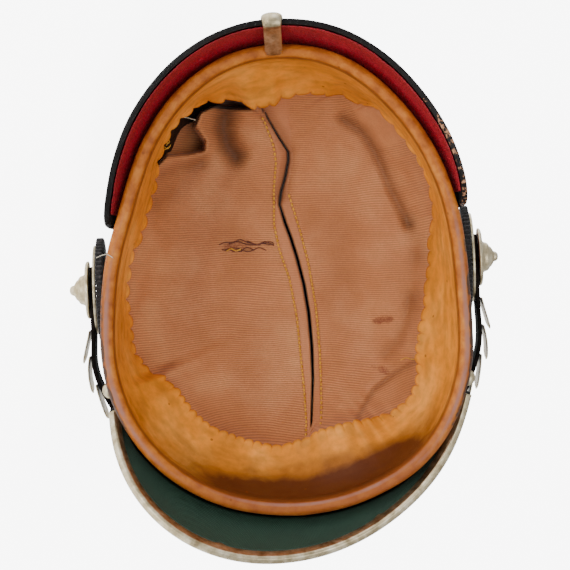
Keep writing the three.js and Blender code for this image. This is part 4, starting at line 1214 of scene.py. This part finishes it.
def strap_at(side, distance, lift, rise):
    path = STRAPS[side["name"]]
    stack = STACKS[side["name"]]
    k = 1
    while k < len(path) - 1 and path[k][2] < distance:
        k += 1
    start, stop = path[k - 1], path[k]
    share = (distance - start[2]) / (stop[2] - start[2])
    settle = smooth(distance, RING_RADIUS - 2, STRAP_SETTLE)
    outward = start[1].lerp(stop[1], share)
    outward.z *= smooth(distance, *STRAP_LEAN)
    outward = outward.normalized().lerp(stack["outward"], 1 - settle).normalized()
    flat = stack["foot"] + stack["forward"] * distance + stack["outward"] * STRAP_LIFT
    height = mix(STRAP_LIFT + stack["clear"], 3 * SEAT_GAP, smooth(distance, *STRAP_DOWN))
    close = start[0].lerp(stop[0], share) + outward * height
    along = (stop[0] - start[0]).normalized().lerp(stack["forward"], 1 - settle)
    across = outward.cross(along).normalized()
    if across.z < 0:
        across.negate()
    return flat.lerp(close, settle) + outward * lift + across * rise


def strap_length(side):
    return STRAPS[side["name"]][-1][2]


def strap_width(side, distance):
    return mix(STRAP_WIDTH, STRAP_END_WIDTH, clamp(distance / strap_length(side)))


def make_strap(side):
    stop = strap_length(side) - BUCKLE_LENGTH / 2 - SEAT_GAP
    first = -0.8 * BOSS_RADIUS

    def place(u, v):
        distance = mix(first, stop, u)
        round_end = min(1.0, math.sqrt(max(0.05, (distance + BOSS_RADIUS) / BOSS_RADIUS)))
        return strap_at(side, distance, STRAP_WALL, (v - 0.5) * strap_width(side, distance) * round_end)

    mesh = sheet_mesh(160, 10, place)
    face_towards(mesh, strap_at(side, 10, 1, 0) - strap_at(side, 10, 0, 0))
    node = f"strap_{side['name']}"
    finish_piece(f"leather_{node}", mesh, STRAP, [node], wall=STRAP_WALL, round_edge=0.4)
    pitch = (stop - SCALE_FIRST - SCALE_LENGTH) / (SCALES_PER_SIDE - 1)
    for i in range(SCALES_PER_SIDE):
        make_scale(side, i + 1, SCALE_FIRST + i * pitch)


def make_scale(side, number, root):
    """One scale of a strap: it starts flat at its root and splays away from the leather."""
    half = strap_width(side, root) / 2 + SCALE_OVERHANG

    def place(u, v):
        rounded_end = 1 - 2.2 * (v - 0.5) ** 2
        scalloped = 0.5 + 0.5 * abs(math.cos(1.5 * math.pi * (2 * v - 1)))
        reach = root + u * SCALE_LENGTH * (0.7 + 0.3 * rounded_end - 0.06 * (1 - scalloped))
        splay = math.tan(math.radians(SCALE_SPLAY)) * (reach - root)
        ridge = 0.35 * math.cos(math.pi * (v - 0.5)) * smooth(u, 0.0, 0.4)
        lift = STRAP_WALL + SEAT_GAP + splay + SCALE_WALL + ridge
        return strap_at(side, reach, lift, mix(-half, half, v))

    mesh = sheet_mesh(12, 18, place)
    face_towards(mesh, strap_at(side, root, 1, 0) - strap_at(side, root, 0, 0))
    node = f"scale_{side['name']}_{number}"
    finish_piece(f"metal_{node}", mesh, NICKEL, [node], wall=SCALE_WALL, round_edge=0.2)


def make_buckle():
    """A plain frame with a bar across it and a pin that lies on the frame."""

    def at(along, rise, lift):
        angle = FRONT["centre"] - math.degrees(along / RIM_FRONT)
        outward = shell_outward(angle, SIDE_Z)
        up = Vector((0, 0, 1))
        up = (up - outward * up.dot(outward)).normalized()
        return shell_point(angle, SIDE_Z) + outward * (3 * SEAT_GAP + lift) + up * rise

    half_long = BUCKLE_LENGTH / 2
    half_wide = BUCKLE_WIDTH / 2
    bar = 2.6
    thick = BUCKLE_WALL * 0.85

    def rail(path, closed):
        """The place function of a round bar along a path."""
        count = len(path)
        steps = count if closed else count - 1

        def stop_at(k):
            return Vector(path[k % count if closed else clamp(k, 0, count - 1)])

        def place(u, v):
            k = round(u * steps)
            along, rise = stop_at(k)
            heading = (stop_at(k + 1) - stop_at(k - 1)).normalized()
            turn = 2 * math.pi * v
            off = 0.5 * bar * math.cos(turn)
            lift = thick * (0.5 + 0.5 * math.sin(turn))
            return at(along - heading.y * off, rise + heading.x * off, lift)

        return place

    corner = 3.0
    centre_x = half_long - bar / 2 - corner
    centre_y = half_wide - bar / 2 - corner
    outline = []
    for to_x, to_y, start in ((1, 1, 0), (-1, 1, 90), (-1, -1, 180), (1, -1, 270)):
        for i in range(7):
            turn = math.radians(start + 15 * i)
            centre = Vector((to_x * centre_x, to_y * centre_y))
            outline.append(centre + corner * Vector((math.cos(turn), math.sin(turn))))
    mesh = sheet_mesh(len(outline), 12, rail(outline, True), around=True)
    bmesh.ops.recalc_face_normals(mesh, faces=mesh.faces)
    middle_bar = [(0, mix(-half_wide + bar, half_wide - bar, i / 8)) for i in range(9)]
    pin = [(mix(-half_long + 1, 1, i / 8), 0) for i in range(9)]
    for path in (middle_bar, pin):
        join_into(mesh, closed_sweep(8, 12, rail(path, False)))
    finish_piece("metal_buckle", mesh, NICKEL, ["buckle"])


# The silk lining

# The slit and the two seams beside it: the station along the helmet and how far to the right
SLIT = [
    (-83.2, -13.1), (-78.5, -11.7), (-72.9, -8.9), (-64.4, -3.8), (-57.9, 0.5), (-54.1, 0.7),
    (-46.6, -0.7), (-39.1, -2.8), (-33.5, -3.5), (-25.0, -0.9), (-17.5, 1.9), (-8.6, 4.7), (4.0, 8.0),
    (17.6, 10.3), (32.6, 11.7), (47.7, 12.2), (60.8, 11.7), (74.4, 11.3), (81.9, 11.3),
]

SEAMS = {
    "left": [
        (-78.5, -14.5), (-72.9, -13.6), (-68.7, -10.8), (-58.3, -6.1), (-51.8, -4.7), (-40.5, -5.6),
        (-24.6, -5.6), (-13.8, -3.3), (-0.2, 1.4), (17.6, 4.7), (32.6, 6.1), (50.5, 8.0), (68.3, 9.4),
        (75.3, 9.8),
    ],
    "right": [
        (-58.8, 2.3), (-46.6, 0.9), (-39.1, 0.0), (-29.7, 3.3), (-21.3, 6.1), (-6.3, 10.3),
        (12.0, 13.6), (32.6, 15.9), (50.5, 16.9), (68.3, 18.3), (75.3, 18.8),
    ],
}

# Where the lining has come away from the band and a pocket opens behind its lip, darkened with painted shade
POCKET = [
    (-61.4, -49.4), (-59.6, -50.4), (-54.9, -55.5), (-45.5, -56.5), (-38.5, -58.3), (-38.0, -62.6),
    (-42.2, -69.1), (-39.9, -75.7), (-33.8, -78.5), (-23.4, -77.6), (-15.0, -77.1), (-13.6, -84.1),
    (-40.8, -89.8), (-64.3, -76.6), (-68.9, -58.8),
]

# Folds of the lining: the way they run, half their width, their depth and how much painted shade they lay on
# the silk (less than nothing takes painted shade away)
FOLDS = [
    # The deep fold beside the pocket
    ([(-28.6, -76.6), (-30.0, -69.1), (-27.7, -60.7), (-23.9, -56.0)], 5.2, 6.0, 0.85),
    # The shallow fold below the pocket
    ([(-38.9, -54.1), (-45.5, -48.5), (-53.0, -41.0), (-60.5, -33.5)], 4.6, 2.2, 0.2),
    # The turned edge along the pocket
    ([(-58.2, -46.6), (-50.2, -50.4), (-40.8, -52.7)], 3.2, 2.0, 0.30),
    # The fold beside the slit
    (
        [(-10.8, -78.5), (-8.0, -71.9), (-2.8, -64.0), (0.9, -57.4), (-0.5, -48.5), (-3.3, -37.2)],
        3.2, 3.0, 0.42,
    ),
    # The long fold at the right
    (
        [
            (26.3, -72.9), (35.2, -66.8), (40.8, -58.8), (44.1, -51.3), (48.3, -41.0), (53.0, -32.1),
            (57.2, -24.1),
        ],
        2.8, 2.8, 0.55,
    ),
    # Its end
    ([(57.2, -24.1), (60.5, -16.6), (61.0, -9.1)], 4.2, 1.6, 0.22),
    # The fold along the band at the right
    ([(61.0, -9.1), (59.6, 2.6), (57.7, 12.0)], 3.8, 1.8, 0.14),
    # Its deep end
    ([(58.2, 10.6), (55.8, 21.9), (52.1, 30.3), (46.4, 36.9)], 3.0, 2.4, 0.26),
    # A soft hollow at the left
    ([(-27.7, -44.7), (-29.5, -26.0), (-28.6, -16.6)], 10.0, 1.8, 0.10),
    # A soft hollow further left
    ([(-45.5, -37.7), (-48.3, -11.9), (-45.5, 11.5)], 12.0, 1.6, 0.08),
    # A crease low at the left
    ([(-60.0, 45.8), (-56.7, 42.5), (-53.0, 40.6)], 1.2, 0.8, 0.28),
    # A crease above it
    ([(-64.3, 33.6), (-62.4, 38.7), (-60.5, 44.8)], 1.1, -0.7, -0.10),
    # A soft hollow right of the slit
    ([(23.9, -40.0), (22.0, -16.6), (25.8, 11.5)], 12.0, 1.4, 0.08),
    # A soft ridge at the right
    ([(39.9, -40.0), (43.6, -11.9), (45.5, 11.5)], 12.0, -2.2, -0.06),
    # A soft hollow low at the left
    ([(-16.4, 25.6), (-18.3, 49.1), (-14.5, 69.7)], 13.0, 1.8, 0.08),
    # The crease of the turned corner
    ([(60.0, 38.7), (50.7, 45.3), (40.8, 53.3), (35.2, 61.3), (31.9, 66.9)], 1.3, 1.3, 0.42),
    # The swelling beside it
    ([(56.7, 35.9), (47.4, 41.6), (37.1, 50.0), (29.5, 60.3)], 3.6, -1.2, -0.08),
]

# The turned corner low at the right, whose ribs run aslant
CORNER = [
    (59.8, 39.2), (50.7, 45.3), (40.8, 53.3), (35.2, 61.3), (31.4, 67.8), (43.6, 69.7), (62.4, 58.4),
]

# The smooth patch high at the right
PATCH = [
    (27.7, -83.2), (29.5, -79.4), (35.2, -67.7), (38.9, -64.0), (42.2, -58.8), (50.7, -61.2),
    (53.5, -64.4), (47.4, -76.6), (40.8, -81.3),
]

# The two ways that the torn threads of the left half run, and the yellow bits between them
TEAR = [
    ((-31.9, -14.3), (-23.9, -15.7), (-13.6, -15.0), (-6.1, -15.2)),
    ((-30.5, -12.1), (-22.0, -11.7), (-11.7, -12.8), (-6.6, -12.8)),
]
TEAR_BITS = [(-28.4, -11.4), (-26.2, -12.6), (-24.0, -11.6), (-21.6, -12.4)]
# For each torn thread, the shares of its way where it starts and stops
TEAR_SPANS = [(0.0, 1.0), (0.05, 0.8), (0.2, 1.0), (0.0, 0.55), (0.5, 1.0)]

# Worn and stained places of the lining: the middle, half the width and how strong
STAINS = [
    (-13.6, 4.5, 2.3, 0.35), (45.0, 20.5, 4.2, 0.55), (41.7, 21.4, 2.3, 0.50), (48.3, 20.0, 2.3, 0.50),
    (44.6, 43.4, 3.3, 0.55), (46.4, 45.3, 2.3, 0.40), (39.9, 42.5, 1.9, 0.40), (37.1, 50.9, 2.8, 0.35),
    (52.1, 35.9, 1.9, 0.35), (35.6, -33.0, 2.8, 0.25), (37.1, -12.8, 2.8, 0.25),
    (38.5, -28.8, 1.4, 0.30), (20.6, 54.7, 1.4, 0.30), (-19.7, -14.3, 7.5, 0.42),
    (-27.7, -13.8, 3.8, 0.45), (-8.9, -14.7, 3.3, 0.40), (43.1, 65.5, 3.3, 0.50),
    (-0.5, -15.2, 1.9, 0.35), (18.8, 75.3, 2.8, 0.25),
]

# Loose threads: their colour, the way they run and their height above the shell's edge at each end
THREADS = [
    ("white", [(-54.9, -71.5), (-51.1, -72.9), (-46.4, -73.1), (-41.7, -71.9)], 37, 40),
    ("yellow", [(-47.4, -75.2), (-50.2, -72.4), (-53.0, -68.7), (-53.9, -64.0), (-54.9, -60.2)], 38, 38),
    ("yellow", [(-48.3, -75.7), (-49.7, -72.9), (-52.5, -70.1)], 38, 38),
    (
        "yellow",
        [(-54.9, -60.7), (-53.5, -62.1), (-55.3, -63.0), (-56.7, -60.7), (-54.4, -58.8), (-53.0, -60.7)],
        38, 38,
    ),
    ("yellow", [(-53.9, -59.7), (-55.8, -58.3), (-56.7, -59.7)], 38, 38),
    ("yellow", [(52.5, 38.5), (54.9, 37.3), (57.2, 37.8), (60.0, 37.8)], 52, 46),
    ("white", [(-84.0, -9.9), (-81.5, -11.0), (-79.0, -11.4), (-76.5, -9.8)], -6.9, -6.7),
    (
        "brown",
        [
            (36.5, 68.9), (38.0, 67.4), (39.5, 68.3), (41.0, 66.4), (42.5, 67.6), (44.0, 65.4),
            (46.0, 66.2), (48.8, 63.4),
        ],
        37, 37,
    ),
    ("brown", [(42.0, 66.4), (42.8, 68.0), (43.6, 66.6), (44.4, 68.2), (45.2, 66.0), (46.2, 67.0)], 37, 37),
]

LINER_COLUMNS = 260
LINER_ROWS = 120
# Half the slit's opening where it is closed, how much wider it opens, and how much of that it loses again
SLIT_CLOSED = 0.1
SLIT_OPEN = 0.36
SLIT_NARROWED = 0.2
SLIT_OPENS_Y = -36.0
SLIT_OPENING = 14
SLIT_NARROWS_Y = (30, 60)
POCKET_DEPTH = 12
LIP_RISE = 1.3
STITCHES = 84
STITCH_RADIUS = 0.56


def line_at(table, station):
    """The second values of a table against the first, joined by straight lines."""
    for (at, value), (next_at, next_value) in zip(table, table[1:]):
        if station <= next_at:
            return mix(value, next_value, clamp((station - at) / (next_at - at)))
    return table[-1][1]


def off_path(x, y, path):
    """How far a point is from a path of straight pieces."""
    least = 1e9
    for (x0, y0), (x1, y1) in zip(path, path[1:]):
        run_x, run_y = x1 - x0, y1 - y0
        share = clamp(((x - x0) * run_x + (y - y0) * run_y) / (run_x * run_x + run_y * run_y))
        least = min(least, math.hypot(x - x0 - share * run_x, y - y0 - share * run_y))
    return least


def inside(x, y, outline):
    """Whether a point is inside an outline."""
    hits = False
    for (x0, y0), (x1, y1) in zip(outline, outline[1:] + outline[:1]):
        if (y0 > y) != (y1 > y) and x < x0 + (y - y0) / (y1 - y0) * (x1 - x0):
            hits = not hits
    return hits


def into(x, y, outline):
    """How far inside an outline a point is, less than nothing outside it."""
    off = off_path(x, y, outline + outline[:1])
    return off if inside(x, y, outline) else -off


def slit_gap(y):
    """Half the width of the opening between the two halves."""
    opened = SLIT_OPEN * smooth(y, SLIT_OPENS_Y, SLIT_OPENS_Y + SLIT_OPENING)
    return SLIT_CLOSED + opened - SLIT_NARROWED * smooth(y, *SLIT_NARROWS_Y)


def liner_row(side, along):
    """The slit end and the band end of one row of a half, and how wide its hem is."""
    angle = mix(-88, 86, along) if side["sign"] > 0 else mix(268, 92, along)
    edge = rim_point(angle, band_inset(angle) + 0.2, band_edge_z(angle) + 0.6)
    slit_y = mix(SLIT_REAR_Y, SLIT_FRONT_Y, along)
    slit_x = line_at(SLIT, slit_y) + side["sign"] * slit_gap(slit_y)
    hem = abs(line_at(SEAMS[side["name"]], slit_y) - slit_x)
    return (slit_x, slit_y), edge, max(2.0, hem)


def liner_state(side, along, across):
    """A point of the lining, and how shaded, plain, stained, hemmed, turned and frayed the silk is."""
    slit, edge, hem = liner_row(side, along)
    x = mix(slit[0], edge.x, across)
    y = mix(slit[1], edge.y, across)
    row_length = math.hypot(edge.x - slit[0], edge.y - slit[1])
    from_slit = across * row_length
    ends = max(0.0, math.sin(math.pi * along)) ** 0.6
    z = mix(LINER_LEVEL, edge.z, across**6) + LINER_SAG * math.sqrt(max(0.0, 1 - across**2.4)) * ends
    held = min(1.0, 6 * (1 - across))
    shade = 0.0
    # Each fold sinks the silk and adds painted shade along its way.
    for path, half, deep, dark in FOLDS:
        reach = 2.6 * half
        if not path[0][0] - 60 < x < path[0][0] + 60:
            continue
        off = off_path(x, y, path)
        if off < reach:
            swell = bell(off, half)
            z += deep * swell * held
            shade += dark * swell
    z += 0.5 * grain((x, y, 0), 0.05, 2.0) * held
    pocket = 0.0
    if side["sign"] < 0 and y < -44 and x < -8:
        deep_in = into(x, y, POCKET)
        pocket = smooth(deep_in, -0.7, 2.0)
        z += POCKET_DEPTH * pocket - LIP_RISE * bell(deep_in + 1.6, 1.3)
        # Painted shade inside the pocket, darker towards the right and the rear.
        shade += pocket * (0.45 + 0.45 * smooth(x - 0.8 * y, -2, 18))
    if from_slit < hem:
        z += 0.5 * smooth(from_slit, hem * 0.9, hem) - 0.45
    if from_slit < 1.0:
        z += 1.6 * (1 - from_slit) ** 2
    # Painted shade along the closed part of the slit, where the two halves meet.
    shade += 0.55 * bell(from_slit, 0.8) * smooth(y, SLIT_OPENS_Y + SLIT_OPENING, SLIT_OPENS_Y)
    corner = smooth(into(x, y, CORNER), -0.3, 0.4) if x > 25 and y > 30 else 0.0
    z -= 0.8 * corner
    patch = smooth(into(x, y, PATCH), -0.4, 0.6) if x > 22 and y < -55 else 0.0
    stain = 0.0
    for at_x, at_y, half, strong in STAINS:
        off = math.hypot(x - at_x, (y - at_y) * 1.6) / half
        if off < 2:
            stain += strong * math.exp(-off * off)
    hem_share = smooth(from_slit, hem + 0.3, hem - 0.3)
    fray = smooth(from_slit, 0.9, 0.1)
    return Vector((x, y, z)), clamp(shade), max(patch, 0.35 * hem_share), stain, hem_share, corner, fray


def rib_place(x, y, corner):
    """The silk's own flat place, which sets how its ribs run."""
    sag = 0.9 * grain((x, y, 0), 0.028, 5.0) * 3 + 0.3 * grain((x, y, 0), 0.11, 1.0)
    slope = 0.2 * max(0.0, x - 26) * smooth(y, 20, -56) - 0.10 * max(0.0, -26 - x) * smooth(y, 0, 40)
    turned = 0.42 * (x - 40) * corner
    return x, y + sag + slope + turned


def make_liner(side):
    states = {}

    def state(u, v):
        key = (round(u * LINER_COLUMNS), round(v * LINER_ROWS))
        if key not in states:
            states[key] = liner_state(side, u, v)
        return states[key]

    masks = {
        "shade": lambda u, v: state(u, v)[1], "plain": lambda u, v: state(u, v)[2],
        "stain": lambda u, v: state(u, v)[3], "hem": lambda u, v: state(u, v)[4],
        "fray": lambda u, v: state(u, v)[6],
    }
    mesh = sheet_mesh(LINER_COLUMNS, LINER_ROWS, lambda u, v: state(u, v)[0].copy(), masks=masks)
    chart = mesh.loops.layers.uv["flat"]
    for face in mesh.faces:
        middle = face.calc_center_median()
        at_corner = middle.x > 25 and middle.y > 30 and inside(middle.x, middle.y, CORNER)
        for loop in face.loops:
            loop[chart].uv = rib_place(loop.vert.co.x, loop.vert.co.y, 1.0 if at_corner else 0.0)
    face_towards(mesh, Vector((0, 0, -1)))
    area = sum(face.calc_area() for face in mesh.faces) * MM * MM
    name = side["name"]
    piece = finish_piece(f"silk_lining_{name}", mesh, SILK, [f"liner_{name}"], wall=LINER_WALL)


def make_stitches():
    """Short thread stitches along the hem beside each edge of the slit."""
    mesh = bmesh.new()
    for side in SIDES:
        first = 0.06 if side["sign"] < 0 else 0.27
        last = 0.985
        count = round(STITCHES * (last - first))
        for i in range(count):
            along = mix(first, last, i / (count - 1))
            ends = []
            for step in (0.0, 0.008):
                slit, edge, hem = liner_row(side, along + step)
                length = math.hypot(edge.x - slit[0], edge.y - slit[1])
                if hem + 0.5 < 0.9 * length:
                    ends.append(liner_state(side, along + step, (hem + 0.5) / length)[0])
            if len(ends) < 2:
                continue
            start, stop = ends
            turn = Vector((0, 0, 1)).rotation_difference((stop - start).normalized()).to_matrix().to_4x4()
            place = Matrix.Translation((start + stop) / 2 + Vector((0, 0, -0.45))) @ turn
            made = bmesh.ops.create_uvsphere(mesh, u_segments=8, v_segments=6, radius=STITCH_RADIUS)
            bmesh.ops.transform(mesh, matrix=place @ Matrix.Diagonal((1, 1, 1.65, 1)), verts=made["verts"])
    finish_piece("lining_stitches", mesh, THREAD)


def thread_sweep(points, radius):
    """A thin round thread through points, with closed ends."""
    count = len(points)

    def place(u, v):
        k = round(u * (count - 1))
        heading = (points[min(count - 1, k + 1)] - points[max(0, k - 1)]).normalized()
        side_way = heading.cross(Vector((0, 0, 1)))
        side_way = side_way.normalized() if side_way.length > 0.01 else Vector((1, 0, 0))
        other = heading.cross(side_way)
        turn = 2 * math.pi * v
        return points[k] + (side_way * math.cos(turn) + other * math.sin(turn)) * radius

    return closed_sweep(count - 1, 6, place)


def curved(points, steps=6):
    """A smooth line through points."""
    result = []
    for k in range(len(points) - 1):
        before, start = points[max(0, k - 1)], points[k]
        stop, after = points[k + 1], points[min(len(points) - 1, k + 2)]
        for i in range(steps):
            t = i / steps
            second = 2 * before - 5 * start + 4 * stop - after
            third = 3 * start - before - 3 * stop + after
            result.append(0.5 * (2 * start + (stop - before) * t + second * t * t + third * t**3))
    return result + [points[-1]]


def make_threads():
    loose = {"yellow": bmesh.new(), "white": bmesh.new(), "brown": bmesh.new()}
    for kind, path, start_z, stop_z in THREADS:
        rise = (stop_z - start_z) / (len(path) - 1)
        points = [Vector((x, y, start_z + rise * k)) for k, (x, y) in enumerate(path)]
        join_into(loose[kind], thread_sweep(curved(points), 0.2))
    for k, (first, last) in enumerate(TEAR_SPANS):
        path = TEAR[k % 2]
        points = []
        for i in range(9):
            share = mix(first, last, i / 8) * (len(path) - 1)
            low = min(len(path) - 2, int(share))
            x = mix(path[low][0], path[low + 1][0], share - low)
            y = mix(path[low][1], path[low + 1][1], share - low) + 1.1 * grain((k, 3 * i, 1), 0.3, 1.0) * 2
            points.append(Vector((x, y, tear_depth(x, y) - 0.35 - 0.5 * abs(grain((k, i, 7), 0.6)))))
        join_into(loose["brown"], thread_sweep(curved(points, 3), 0.22))
    points = [Vector((x, y, tear_depth(x, y) - 0.9)) for x, y in TEAR_BITS]
    join_into(loose["yellow"], thread_sweep(curved(points, 3), 0.3))
    finish_piece("yellow_thread_ends", loose["yellow"], THREAD)
    finish_piece("white_thread_end", loose["white"], WHITE_THREAD)
    finish_piece("torn_silk_threads", loose["brown"], SILK_THREAD)


def tear_depth(x, y):
    """How high the left half of the lining lies at a point."""
    side = SIDES[0]
    along, across = 0.5, 0.5
    for _ in range(12):
        slit, edge, _ = liner_row(side, along)
        across = clamp((x - slit[0]) / (edge.x - slit[0]))
        along = clamp(along + (y - mix(slit[1], edge.y, across)) / (SLIT_FRONT_Y - SLIT_REAR_Y) * 0.9)
    return liner_state(side, along, across)[0].z


# The stage

SENSOR = 36
VIEW_END = 20
FLOOR_HALF = 6
# The lights: the way to each in the camera's axes, its distance, size and power
KEY = dict(right=-0.8, up=0.25, distance=1.6, size=0.8, power=112)
FILL = dict(right=0.6, up=-0.3, distance=1.8, size=1.4, power=13)
SKY_STRENGTH = 0.74


def make_camera():
    tilt = Vector((0.0, math.sin(CAMERA_TILT), math.cos(CAMERA_TILT)))
    data = bpy.data.cameras.new("camera")
    camera = bpy.data.objects.new("camera", data)
    bpy.context.collection.objects.link(camera)
    focal = PHOTO_SCALE * CAMERA_DISTANCE
    data.sensor_fit = "HORIZONTAL"
    data.sensor_width = SENSOR
    data.lens = SENSOR * focal / PHOTO_WIDTH
    data.clip_end = VIEW_END
    right = Vector((1, 0, 0))
    down = tilt.cross(right).normalized()
    off_x = (PHOTO_WIDTH / 2 - PHOTO_MIDDLE[0]) / PHOTO_SCALE
    off_y = (PHOTO_WIDTH / 2 - PHOTO_MIDDLE[1]) / PHOTO_SCALE
    eye = -tilt * CAMERA_DISTANCE + right * off_x + down * off_y
    turn = HELMET.to_3x3() * (1 / MM)
    axes = Matrix((turn @ right, turn @ -down, turn @ -tilt)).transposed().to_4x4()
    axes.translation = HELMET @ eye
    camera.matrix_world = axes
    bpy.context.scene.camera = camera
    return camera


def add_area_light(name, light, axes, aim):
    """An area light that stands off from its aim, in the axes of the camera."""
    towards = axes @ Vector((light["right"], light["up"], 1.0))
    data = bpy.data.lights.new(name, "AREA")
    data.energy = light["power"]
    data.size = light["size"]
    lamp = bpy.data.objects.new(name, data)
    bpy.context.collection.objects.link(lamp)
    lamp.location = aim + towards.normalized() * light["distance"]
    lamp.rotation_euler = (-towards).to_track_quat("-Z", "Y").to_euler()


def make_stage(camera):
    mesh = bmesh.new()
    bmesh.ops.create_grid(mesh, x_segments=2, y_segments=2, size=FLOOR_HALF)
    data = bpy.data.meshes.new("floor")
    mesh.to_mesh(data)
    mesh.free()
    floor = bpy.data.objects.new("floor", data)
    data.materials.append(studio_floor())
    bpy.context.collection.objects.link(floor)
    aim = HELMET @ Vector((0, 0, 20))
    axes = camera.matrix_world.to_3x3()
    add_area_light("key", KEY, axes, aim)
    add_area_light("fill", FILL, axes, aim)
    world = bpy.data.worlds.new("studio")
    world.use_nodes = True
    sky = world.node_tree.nodes["Background"]
    sky.inputs["Color"].default_value = (1.0, 1.0, 1.0, 1.0)
    sky.inputs["Strength"].default_value = SKY_STRENGTH
    bpy.context.scene.world = world


make_shell()
make_sweatband()
make_visor("leather_front_visor", "front_visor", FRONT, lambda u: 0.2)
make_visor("leather_rear_visor", "rear_visor", REAR, lambda u: 0.4 * smooth(u, 0.62, 0.85) + 0.3)
make_lining("green_visor_lining", "front_visor_lining", FRONT, trim_leg, GREEN, 0.12)
make_lining("red_visor_lining", "rear_visor_lining", REAR, rear_margin, RED, 0.3)
make_front_trim()
make_rear_spine()
make_spike_base()
make_spike()
make_base_studs()
make_front_plate()
for each_side in SIDES:
    make_cockade(each_side)
    make_boss(each_side)
    make_side_stud(each_side)
    make_strap(each_side)
make_buckle()
for each_side in SIDES:
    make_liner(each_side)
make_stitches()
make_threads()
make_stage(make_camera())
